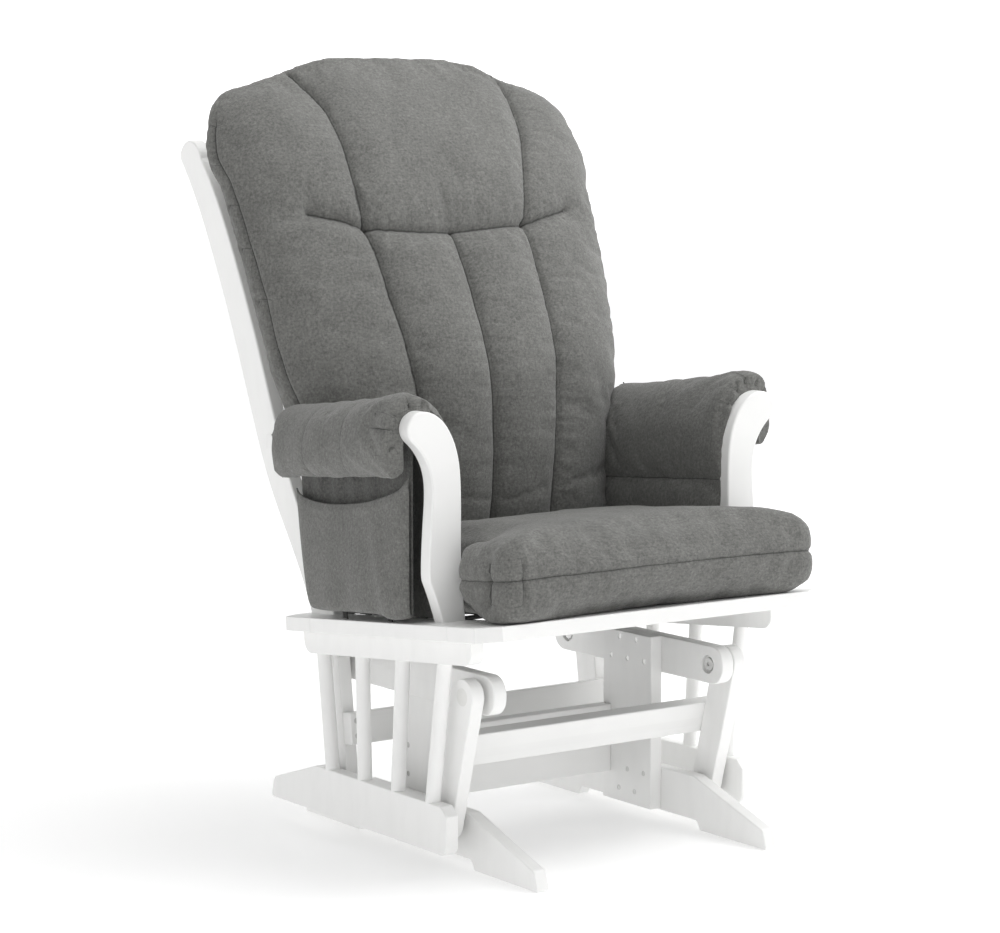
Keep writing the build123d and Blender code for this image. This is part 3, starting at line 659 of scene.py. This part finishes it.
def make_back_cushion():
    outline = back_outline()
    count = len(outline)
    share = np.sin(np.linspace(0.05, 1, 34) * math.pi / 2)
    layers = []
    for middle, edge, steps in ((FRONT_MIDDLE, FRONT_EDGE, share), (REAR_MIDDLE, REAR_EDGE, share[::-1])):
        if middle is REAR_MIDDLE:
            for t, bulge in ((0.25, 3.0), (0.5, 4.5), (0.75, 3.0)):
                front, rear = edge_line(FRONT_EDGE, bulge), edge_line(REAR_EDGE, bulge)
                layers.append(front * (1 - t) + rear * t)
        for r in steps:
            spot = BACK_HUB + r * (outline - BACK_HUB)
            rise = 1 - (1 - min(r, 1.0) ** 2.3) ** 0.6
            inner, outer = interpolate(spot[:, 1], middle), interpolate(outline[:, 1], edge)
            layers.append(np.column_stack([spot[:, 0], inner + (outer - inner) * rise, spot[:, 1]]))
    hubs = [(0, interpolate(700.0, FRONT_MIDDLE), 700), (0, interpolate(700.0, REAR_MIDDLE), 700)]
    points = np.vstack(layers + [hubs])
    thing = make_object("back_cushion_soft", points, ring_faces(len(layers), count))
    remesh(thing, 6)
    relax(thing, 3)
    base = get_points(thing)
    normals = get_normals(thing)
    thin = base - normals * 3.0
    front_seams = {
        "cross": ([(-224, 862), (-180, 854), (-140, 845), (-70, 839), (0, 837), (70, 841),
                   (136, 846), (180, 854), (228, 863)], 9.0, 13.0, 1.2),
        "middle": ([(0, 837), (0, 700), (0, 560), (0, 340)], 8.0, 12.0, 0.6)}
    for side, head in ((-1, ((140, 845), (143, 880), (142, 904), (140, 943), (140, 987), (145, 1026),
                             (159, 1056), (172, 1072))),
                       (1, ((138, 846), (147, 874), (156, 903), (171, 941), (184, 975), (194, 1014),
                            (198, 1039), (196, 1056), (194, 1074)))):
        front_seams["channel" + str(side)] = (
            [(side * x, z) for x, z in (head[0], (136, 800), (134, 747), (127, 652), (122, 615),
                                        (116, 560), (110, 480), (104, 345))], 9.0, 13.0, 0.7)
        front_seams["head" + str(side)] = ([(side * x, z) for x, z in head], 8.0, 13.0, 0.9)

    def seams_at(rest, facing):
        flat = np.column_stack([rest[:, 0], rest[:, 2]])
        found = []
        for seed, (line, depth, width, gather) in enumerate(front_seams.values()):
            distance, along, run = line_field(flat, smooth_line(line))
            mask = facing
            if seed == 0:
                mask = facing * np.clip(1 - (np.abs(rest[:, 0]) - 225) / 80, 0.15, 1)
            found.append((distance, along, depth, width, gather, seed + 5, mask))
        for table, depth in ((FRONT_EDGE, 4.6), (REAR_EDGE, 4.0)):
            distance, along, run = line_field(rest, closed_edge(table))
            found.append((distance, along, depth, 5.0, 0.3, 31, np.clip((1015 - rest[:, 2]) / 30, 0, 1)))
        for line in edge_tucks():
            distance, along, run = line_field(rest, line)
            found.append((distance, along, 4.2, 3.6, 0.0, 1, np.ones(len(rest))))
        return found
    facing = (normals[:, 1] < 0.35).astype(float)
    pinned = np.zeros(len(base))
    for distance, along, depth, width, gather, seed, mask in seams_at(base, facing):
        mask = 1.0 if seed == 31 else mask
        pinned = np.maximum(pinned, mask * np.clip(1.3 - distance / 7.0, 0, 1))
    set_points(thing, thin)
    puffed = inflate(thing, pinned, 5.0, 12.0)
    fine = subdivided(thing, puffed)
    rest = rest_points(thing, base)
    points, normals = get_points(fine), get_normals(fine)
    facing = np.clip((0.45 - normals[:, 1]) / 0.3, 0, 1)
    points = sew(points, normals, seams_at(rest, facing))
    crumple = 0.7 * ripple(rest, 3, 30, 90) + 1.6 * ripple(rest, 4, 120, 320)
    points = points + normals * (crumple * 0.8)[:, None]
    sunk = np.exp(-((rest[:, 0] + 205) / 75) ** 4) * np.clip((rest[:, 2] - 960) / 90, 0, 1)
    points[:, 2] -= 8 * sunk + 2.5 * np.clip((rest[:, 2] - 960) / 90, 0, 1)
    set_points(fine, points)
    bpy.data.objects.remove(thing)
    flat = np.column_stack([rest[:, 0], rest[:, 2]])
    behind = facing < 0.5
    lines = {name: smooth_line(row[0]) for name, row in front_seams.items()}
    for field, parts in (("seam_a", ("channel-1", "head-1")), ("seam_b", ("channel1", "head1"))):
        line = np.vstack([lines[parts[0]][::-1], lines[parts[1]][1:]])
        middle = np.interp(flat[:, 1], line[:, 1], line[:, 0])
        value = signed_field(flat, line, flat[:, 0] - middle)
        store_field(fine, field, np.where(behind, FAR, value))
    value = signed_field(flat, lines["middle"], flat[:, 0])
    store_field(fine, "seam_c", np.where(behind, FAR, value))
    cross = lines["cross"]
    height = flat[:, 1] - np.interp(flat[:, 0], cross[:, 0], cross[:, 1])
    store_field(fine, "seam_d", np.where(behind, FAR, signed_field(flat, cross, height)))
    for field, table in (("seam_e", FRONT_EDGE), ("seam_f", REAR_EDGE)):
        distance, along, run = line_field(rest, closed_edge(table))
        edge_y = interpolate(rest[:, 2], table)
        value = np.where(rest[:, 1] < edge_y, -1.0, 1.0) * np.maximum(distance, 0.02)
        value *= 1 + 14 * np.clip((rest[:, 2] - 985) / 30, 0, 1)
        if field == "seam_f":
            for tuck in edge_tucks():
                near = signed_field(rest, tuck, rest[:, 2] - tuck[:, 2].mean()) * 1.3
                value = np.where(np.abs(near) < np.abs(value), near, value)
        store_field(fine, field, value)
    soft_piece("back_cushion_soft", fine, "back_cushion", SEAM_SHADED_CLOTH)


# ---------------------------------------------------------------- seat cushion
def deck_to_layout(points):
    """Points in the deck's frame (X, along the deck from its front edge, above it) in the layout."""
    p = np.asarray(points, float)
    c, s = math.cos(DECK_TILT), math.sin(DECK_TILT)
    return np.column_stack([p[:, 0], DECK_FRONT[0] + p[:, 1] * c + p[:, 2] * s,
                            DECK_FRONT[1] - p[:, 1] * s + p[:, 2] * c])


def layout_to_deck(points):
    p = np.asarray(points, float)
    c, s = math.cos(DECK_TILT), math.sin(DECK_TILT)
    y, z = p[:, 1] - DECK_FRONT[0], p[:, 2] - DECK_FRONT[1]
    return np.column_stack([p[:, 0], y * c - z * s, y * s + z * c])


def rounded_outline(corners, radii, step=7.0):
    """A polygon with arcs at its corners, sampled evenly."""
    p = np.asarray(corners, float)
    line = []
    for i, radius in enumerate(radii):
        before, here, after = p[i - 1], p[i], p[(i + 1) % len(p)]
        u = (before - here) / np.linalg.norm(before - here)
        v = (after - here) / np.linalg.norm(after - here)
        half = math.acos(float(np.clip(u @ v, -1, 1))) / 2
        cut = radius / math.tan(half)
        centre = here + (u + v) / np.linalg.norm(u + v) * radius / math.sin(half)
        a, b = here + u * cut - centre, here + v * cut - centre
        turn = math.atan2(a[0] * b[1] - a[1] * b[0], a @ b)
        count = max(3, int(abs(turn) * radius / step) + 1)
        for t in np.linspace(0, 1, count):
            c, s = math.cos(turn * t), math.sin(turn * t)
            line.append(centre + np.array([a[0] * c - a[1] * s, a[0] * s + a[1] * c]))
    line = np.array(line)
    closed = np.vstack([line, line[:1]])
    lengths = np.concatenate([[0], np.cumsum(np.linalg.norm(np.diff(closed, axis=0), axis=1))])
    places = np.arange(int(lengths[-1] / step)) * lengths[-1] / int(lengths[-1] / step)
    return np.column_stack([np.interp(places, lengths, closed[:, k]) for k in (0, 1)])


def seat_outline(step=7.0):
    w, v, y0, y1, y2 = 264.0, 214.0, -19.0, 120.0, 362.0
    corners = [(-w, y0), (w, y0), (w, y1), (v, y1), (v, y2), (-v, y2), (-v, y1), (-w, y1)]
    return rounded_outline(corners, [40, 34, 26, 12, 34, 34, 12, 26], step)


def outline_normals(outline):
    way = np.roll(outline, -1, axis=0) - np.roll(outline, 1, axis=0)
    way /= np.linalg.norm(way, axis=1, keepdims=True)
    return np.column_stack([way[:, 1], -way[:, 0]])


SEAT_BOTTOM, SEAT_EDGE_TOP = 3.5, 108.0
SEAT_SHIFT = 9.0            # the cushion lies a little to one side


SEAT_TUCKS = [[(-236, -17, 28), (-238, -18, 56), (-236, -17, 84)],
              [(-264, 34, 30), (-265, 36, 56), (-264, 34, 82)]]    # short, at one front corner


def make_seat_cushion():
    outline = seat_outline()
    out = outline_normals(outline)
    layers = []
    middle, half = (SEAT_BOTTOM + SEAT_EDGE_TOP) / 2, (SEAT_EDGE_TOP - SEAT_BOTTOM) / 2
    for angle in np.linspace(-90, 90, 15):
        a = math.radians(angle)
        c, s = abs(math.cos(a)) ** 0.6, math.copysign(abs(math.sin(a)) ** 0.75, a)
        ring = outline - out * 40 * (1 - c)
        layers.append(np.column_stack([ring, np.full(len(ring), middle + half * s)]))
    hub = np.array([0.0, 130.0])

    def shrink(layer, factors):
        rings = []
        for f in factors:
            flat = hub + f * (layer[:, :2] - hub)
            rings.append(np.column_stack([flat, layer[:, 2]]))
        return rings
    bottom = shrink(layers[0], (0.2, 0.5, 0.8))
    top = shrink(layers[-1], (0.9, 0.75, 0.55, 0.35, 0.15))
    layers = bottom + layers + top
    hubs = [(hub[0], hub[1], SEAT_BOTTOM), (hub[0], hub[1], SEAT_EDGE_TOP)]
    points = np.vstack(layers + [hubs])
    thing = make_object("seat_cushion_soft", deck_to_layout(points), ring_faces(len(layers), len(outline)))
    remesh(thing, 6)
    relax(thing, 4)
    base = get_points(thing)
    normals = get_normals(thing)
    seam_height = 55.0
    loop = np.column_stack([outline, np.full(len(outline), seam_height)])
    loop = np.vstack([loop, loop[:1]])

    def seams_at(rest):
        local = layout_to_deck(rest)
        distance, along, run = line_field(local, loop)
        found = [(distance, along, 4.6, 6.0, 0.5, 9, np.ones(len(rest)))]
        for line in SEAT_TUCKS:
            distance, along, run = line_field(local, np.array(line, float))
            found.append((distance, along, 6.5, 6.0, 0.0, 2, np.ones(len(rest))))
        return found
    pinned = np.zeros(len(base))
    for row in seams_at(base):
        pinned = np.maximum(pinned, np.clip(1.2 - row[0] / 7.0, 0, 1))
    set_points(thing, base - normals * 3.0)
    puffed = inflate(thing, pinned, 5.0, 14.0)
    fine = subdivided(thing, puffed)
    rest = rest_points(thing, base)
    points, normals = get_points(fine), get_normals(fine)
    points = sew(points, normals, seams_at(rest))
    local = layout_to_deck(points)
    crown = np.clip(1 - (local[:, 0] / 250) ** 2, 0, 1)
    crown *= np.clip(1 - ((local[:, 1] - 150) / 230) ** 2, 0, 1)
    local[:, 2] += np.clip(local[:, 2] / 100, 0, 1) * (8 * crown)
    local[:, 2] += np.clip(local[:, 2] / 100, 0, 1) * (1.1 * ripple(rest, 14, 110, 300))
    low = np.clip((44 - local[:, 2]) / 44, 0, 1) ** 1.5 * np.clip((90 - local[:, 1]) / 50, 0, 1)
    local[:, 0] -= 16 * low * np.clip((-local[:, 0] - 190) / 50, 0, 1)
    corner = np.clip((-local[:, 0] - 150) / 80, 0, 1) * np.clip((90 - local[:, 1]) / 50, 0, 1)
    local[:, 2] *= 1 - 0.9 * corner * np.clip((40 - local[:, 2]) / 40, 0, 1)
    local[:, 2] = np.maximum(local[:, 2], 1.2)
    points = deck_to_layout(local) + normals * (0.6 * ripple(rest, 15, 28, 80))[:, None]
    points[:, 0] += SEAT_SHIFT
    set_points(fine, points)
    bpy.data.objects.remove(thing)
    place = layout_to_deck(rest)
    distance, along, run = line_field(place, loop)
    rounded = np.where(place[:, 2] < seam_height, -1.0, 1.0) * np.maximum(distance, 0.02)
    store_field(fine, "seam_a", rounded * 1.6)
    for field, line, way in (("seam_b", SEAT_TUCKS[0], 0), ("seam_c", SEAT_TUCKS[1], 1)):
        line = np.array(line, float)
        store_field(fine, field, signed_field(place, line, place[:, way] - line[1][way]))
    soft_piece("seat_cushion_soft", fine, "seat_cushion", SEAM_SHADED_CLOTH)


# ---------------------------------------------------------------- arm pads
PAD_FRONT, PAD_REAR, PAD_TOP, PAD_SLOPE = -111.0, 178.0, 642.0, 0.135
PAD_SECTION = [(221, 341), (221, 450), (221, 552), (226, 584), (239, 612), (258, 632), (284, 642),
               (308, 638), (324, 619), (332, 587), (332, 553), (327, 533), (315, 524), (304, 528),
               (299, 542), (299, 575), (298, 603), (270, 603), (248, 600), (236, 580), (231, 552),
               (231, 450), (231, 341)]


def pad_point(x, z, t):
    """A section point carried back along the arm by the share t."""
    rear = 156 + (PAD_REAR - 156) * min(max((x - 222) / 62, 0), 1)
    front = PAD_FRONT - 7 * min(max((252 - x) / 16, 0), 1)
    y = front + t * (rear - front)
    back = y - PAD_FRONT
    low = 0.0989 if x < 240 else 0.086
    blend = min(max((z - 420) / 170, 0), 1) if x < 240 else min(max((z - 530) / 70, 0), 1)
    return x, y, z - back * (low + (PAD_SLOPE - low) * blend)


def pad_gathers():
    """Short gathers where the cloth is drawn in round the arm post's head, from the front edge back."""
    lines = []
    for j, angle in enumerate((160, 124, 97, 70, 38, 8, -22)):
        a = math.radians(angle)
        reach, lean = 26 + 7 * (j % 3), math.radians(angle + (5 if j % 2 else -6))
        lines.append(np.array([(277 + 40 * math.cos(a), PAD_FRONT - 2, 584 + 40 * math.sin(a)),
                               (277 + 54 * math.cos(a), PAD_FRONT + 3, 583 + 53 * math.sin(a)),
                               (277 + 56 * math.cos(lean), PAD_FRONT + reach, 581 + 54 * math.sin(lean))]))
    return lines


PAD_CROSS_SEAMS = (0.35, 0.665)         # shares of the pad's length


def pad_cross_seam(t):
    """The seam across the pad's outer roll at the share t of its length."""
    return np.array([pad_point(x, z, t) for x, z in smooth_line(PAD_SECTION[4:14], 5.0)])


def make_arm_pads():
    section = smooth_line(PAD_SECTION, 7.0, closed=True)
    layers = []
    stations = np.concatenate([[0, 0.008, 0.025], np.linspace(0.05, 0.95, 34), [0.975, 0.992, 1.0]])
    for t in stations:
        layers.append([pad_point(x, z, t) for x, z in section])
    points = np.vstack(layers)
    count = len(section)
    faces = ring_faces(len(stations), count, False)
    faces.append(tuple(range(count - 1, -1, -1)))
    faces.append(tuple((len(stations) - 1) * count + j for j in range(count)))
    thing = make_object("right_arm_pad_soft", points, faces)
    remesh(thing, 4.5)
    relax(thing, 4)
    base = get_points(thing)
    normals = get_normals(thing)

    def seams_at(rest):
        found = []
        roll = (rest[:, 0] > 250).astype(float)
        for seed, t in enumerate(PAD_CROSS_SEAMS):
            distance, along, run = line_field(rest, pad_cross_seam(t))
            found.append((distance, along, 0.9, 6.0, 0.2, 21 + seed, roll))
        panel = np.array([(221, -105, 491), (221, 20, 482), (221, 140, 473)], float)
        distance, along, run = line_field(rest, panel)
        found.append((distance, along, 3.0, 6.0, 0.8, 26, np.ones(len(rest))))
        for line in pad_gathers():
            distance, along, run = line_field(rest, line)
            found.append((distance, along, 4.5, 4.0, 0.0, 3, np.clip(1.25 - along / run, 0, 1)))
        return found
    pinned = np.zeros(len(base))
    for row in seams_at(base):
        pinned = np.maximum(pinned, np.clip(1.1 - row[0] / 5.0, 0, 1) * (row[2] > 2))
    top = PAD_TOP - PAD_SLOPE * (base[:, 1] - PAD_FRONT)
    inside = (base[:, 0] > 229) & (base[:, 0] < 303) & (base[:, 2] < top - 27)
    pinned[inside & (normals[:, 2] < 0.3)] = 1
    set_points(thing, base - normals * 2.0 * (pinned < 0.5)[:, None])
    puffed = inflate(thing, pinned, 4.0, 7.0)
    fine = subdivided(thing, puffed)
    rest = rest_points(thing, base)
    points, normals = get_points(fine), get_normals(fine)
    points = sew(points, normals, seams_at(rest))
    crumple = 0.5 * ripple(rest, 41, 25, 70) + 0.8 * ripple(rest, 42, 80, 200)
    outer = np.clip((rest[:, 0] - 245) / 40, 0, 1)
    points += normals * (crumple * (0.35 + 0.65 * outer))[:, None]
    top = PAD_TOP - PAD_SLOPE * (rest[:, 1] - PAD_FRONT)
    drawn = np.clip((PAD_FRONT + 40 - rest[:, 1]) / 40, 0, 1) ** 1.6
    points[:, 2] -= 9.0 * drawn * np.clip((rest[:, 2] - top + 45) / 40, 0, 1)
    lip = np.clip((-100 - rest[:, 1]) / 6, 0, 1) * np.clip((262 - rest[:, 0]) / 8, 0, 1)
    points[:, 0] += 5.0 * lip * np.clip((rest[:, 2] - 545) / 20, 0, 1)
    points[:, 2] -= 4.0 * lip * np.clip((rest[:, 2] - 585) / 15, 0, 1)
    points = without_spikes(fine, points)
    set_points(fine, points)
    bpy.data.objects.remove(thing)
    gathers = pad_gathers()
    for field, group in (("seam_a", gathers[0::2]), ("seam_b", gathers[1::2])):
        nearest = np.full(len(rest), FAR)
        for line in group:
            turn = np.arctan2(rest[:, 2] - 583, rest[:, 0] - 277)
            middle = np.arctan2(line[1:, 2] - 583, line[1:, 0] - 277).mean()
            value = signed_field(rest, line, turn - middle)
            nearest = np.where(np.abs(value) < np.abs(nearest), value, nearest)
        store_field(fine, field, nearest)
    for field, t in zip(("seam_c", "seam_d"), PAD_CROSS_SEAMS):
        behind = rest[:, 1] - (PAD_FRONT + t * (PAD_REAR - PAD_FRONT))
        store_field(fine, field, signed_field(rest, pad_cross_seam(t), behind) * 3.0)
    line = np.array([(221, -112, 491), (221, 20, 482), (221, 156, 471)], float)
    height = rest[:, 2] - np.interp(rest[:, 1], line[:, 1], line[:, 2])
    value = np.where(rest[:, 0] > 228, FAR, signed_field(rest, line, height) * 1.5)
    store_field(fine, "seam_f", value)
    twin = bpy.data.objects.new("left_arm_pad_soft", fine.data.copy())
    bpy.context.scene.collection.objects.link(twin)
    set_points(twin, points * (-1, 1, 1))
    twin.data.flip_normals()
    points[:, 2] += 4.0 * np.clip((rest[:, 2] - 585) / 35, 0, 1)
    outer = np.clip((rest[:, 0] - 292) / 30, 0, 1)
    points[:, 0] -= 10.0 * outer
    points[:, 2] += 13.0 * outer * np.clip((578 - rest[:, 2] - 0.09 * (rest[:, 1] + 110)) / 34, 0, 1)
    points[:, 1] += 15.0 * np.clip((rest[:, 1] - 125) / 45, 0, 1) * np.clip((rest[:, 0] - 232) / 20, 0, 1)
    set_points(fine, points)
    soft_piece("right_arm_pad_soft", fine, "right_arm_pad", SEAM_SHADED_CLOTH)
    soft_piece("left_arm_pad_soft", twin, "left_arm_pad", SEAM_SHADED_CLOTH)


# ---------------------------------------------------------------- side pockets
def thin_sheet(name, grid, thickness, material):
    """A closed sheet of cloth from a grid of points, thickened on both sides."""
    rows, columns = grid.shape[:2]
    du, dv = np.gradient(grid, axis=0), np.gradient(grid, axis=1)
    normals = np.cross(du, dv)
    normals /= np.linalg.norm(normals, axis=2, keepdims=True)
    front, back = grid + normals * thickness / 2, grid - normals * thickness / 2
    points = np.vstack([front.reshape(-1, 3), back.reshape(-1, 3)])
    size = rows * columns
    faces = []
    for i in range(rows - 1):
        for j in range(columns - 1):
            a = i * columns + j
            quad = (a, a + columns, a + columns + 1, a + 1)
            faces.append(quad)
            faces.append(tuple(size + k for k in quad[::-1]))
    rim = [j for j in range(columns)] + [i * columns + columns - 1 for i in range(1, rows)]
    rim += [(rows - 1) * columns + j for j in range(columns - 2, -1, -1)]
    rim += [i * columns for i in range(rows - 2, 0, -1)]
    for a, b in zip(rim, rim[1:] + rim[:1]):
        faces.append((a, b, b + size, a + size))
    return make_object(name, points, faces, material)


def area_of(grid):
    """Area of a grid of points and its mean width and length, in metres."""
    du, dv = np.diff(grid, axis=0)[:, :-1], np.diff(grid, axis=1)[:-1]
    area = np.linalg.norm(np.cross(du, dv), axis=2).sum() / 1e6
    length = np.linalg.norm(np.diff(grid, axis=0), axis=2).sum(0).mean() / 1000
    return area, area / length, length


POCKET_FRONT = -93.0


def make_pockets():
    across, up = np.linspace(0, 1, 84), np.linspace(0, 1, 72)
    u, v = np.meshgrid(across, up)
    rear_edge = 152 + 33 * v ** 0.8
    y = POCKET_FRONT + (rear_edge - POCKET_FRONT) * u
    bottom = 346 - (y - POCKET_FRONT) * 0.0989
    bottom += 3 * np.exp(-((y - 160) / 30) ** 2) - 7 * np.exp(-((y + 70) / 34) ** 2)
    mouth = interpolate(y.ravel(), [(-96, 530), (-80, 509), (-50, 497), (0, 484), (65, 475), (120, 473),
                                    (160, 477), (190, 487)]).reshape(y.shape)
    fall = u * (1 - u) * 4
    z = bottom + (mouth - bottom) * v
    fold = np.sin(2 * math.pi * (u * 3.1 + 0.12 * v)) * (1 - v) * 0.9
    fold += 3.2 * np.exp(-((u - 0.16 - 0.1 * v) / 0.05) ** 2) * (1 - v ** 3)
    x = 287 + 8.5 * fall ** 0.6 * np.sin(math.pi * (0.12 + 0.8 * v)) ** 0.8 + 1.6 * fold * fall
    x += 1.3 * np.exp(-((v - 0.94) / 0.035) ** 2)
    x -= 5.0 * np.exp(-u / 0.035) + 5.0 * np.exp(-(1 - u) / 0.035) + 4.0 * np.exp(-v / 0.03)
    bag = np.stack([x, y, z], axis=2)
    top = 575 - (y - POCKET_FRONT) * 0.135
    z2 = bottom + (top - bottom) * v
    x2 = 276.8 + 1.5 * np.sin(2 * math.pi * u * 6.3) * np.clip((v - 0.35) * 2, 0, 1) * fall
    back = np.stack([x2, y, z2], axis=2)
    for side, name in ((1, "right"), (-1, "left")):
        flip = np.array([side, 1, 1])
        # The back panel takes the darker cloth, painted shade for the pocket's inside.
        for label, grid, material in (("pocket_bag", bag, CLOTH), ("pocket_back", back, SHADED_POCKET_BACK_CLOTH)):
            shape = grid * flip
            piece = thin_sheet(name + "_" + label, shape[:, ::side], 2.2, material)
            area, width, length = area_of(shape)
            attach(piece, SEAT)
        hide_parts(name + "_side_pocket")


def make_ties():
    """Short ribbons from the pockets' lower edges to the deck, bowed out a little."""
    for side, name in ((1, "right"), (-1, "left")):
        for number, y in enumerate((-40.0, 70.0)):
            t = np.linspace(0, 1, 26)
            deck = 350.6 - (y - DECK_FRONT[0]) * math.tan(DECK_TILT)
            z = deck + 0.8 + 19 * t
            x = 276.6 + 1.2 * np.sin(math.pi * t)
            w = np.linspace(-6, 6, 5)
            grid = np.stack([np.repeat((side * x)[:, None], 5, 1), y + np.repeat(w[None], 26, 0),
                             np.repeat(z[:, None], 5, 1)], axis=2)
            piece = thin_sheet(name + "_tie_" + str(number + 1), grid[:, ::side], 1.0, WEBBING)
            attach(piece, SEAT)
            if side == 1 and number == 0:
                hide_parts("pocket_ties")


# ---------------------------------------------------------------- webbing under the cushion
def make_webbing():
    """Interlaced elastic bands across the deck's opening, stapled to its boards."""
    long_x, cross_s, band = (-141.0, -47.0, 47.0, 141.0), (150.0, 249.0, 348.0), 52.0
    pieces = []
    for i, x in enumerate(long_x):
        s = np.linspace(56, 442, 130)
        wave = sum((1 if (i + j) % 2 else -1) * np.exp(-((s - c) / 30) ** 2) for j, c in enumerate(cross_s))
        height = 1.4 + 0.9 * wave
        w = np.linspace(-band / 2, band / 2, 12)
        pieces.append(("web_long_" + str(i + 1), s, height, w, x, False))
    for j, c in enumerate(cross_s):
        s = np.linspace(-218, 218, 140)
        wave = sum((-1 if (i + j) % 2 else 1) * np.exp(-((s - x) / 30) ** 2) for i, x in enumerate(long_x))
        height = 1.4 + 0.9 * wave
        w = np.linspace(-band / 2, band / 2, 12)
        pieces.append(("web_cross_" + str(j + 1), s, height, w, c, True))
    for number, (name, s, height, w, place, crosswise) in enumerate(pieces):
        along, over = np.repeat(s[:, None], 12, 1), np.repeat((place + w)[None], len(s), 0)
        lift = np.repeat(height[:, None], 12, 1)
        flat = [along, over, lift] if crosswise else [over, along, lift]
        grid = deck_to_layout(np.stack(flat, axis=2).reshape(-1, 3)).reshape(len(s), 12, 3)
        piece = thin_sheet(name, grid, 1.0, WEBBING)
        area, width, length = area_of(grid)
        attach(piece, SEAT)
        if number == 0:
            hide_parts("seat_webbing")


make_back_cushion()
make_seat_cushion()
make_arm_pads()
make_pockets()
make_ties()
make_webbing()
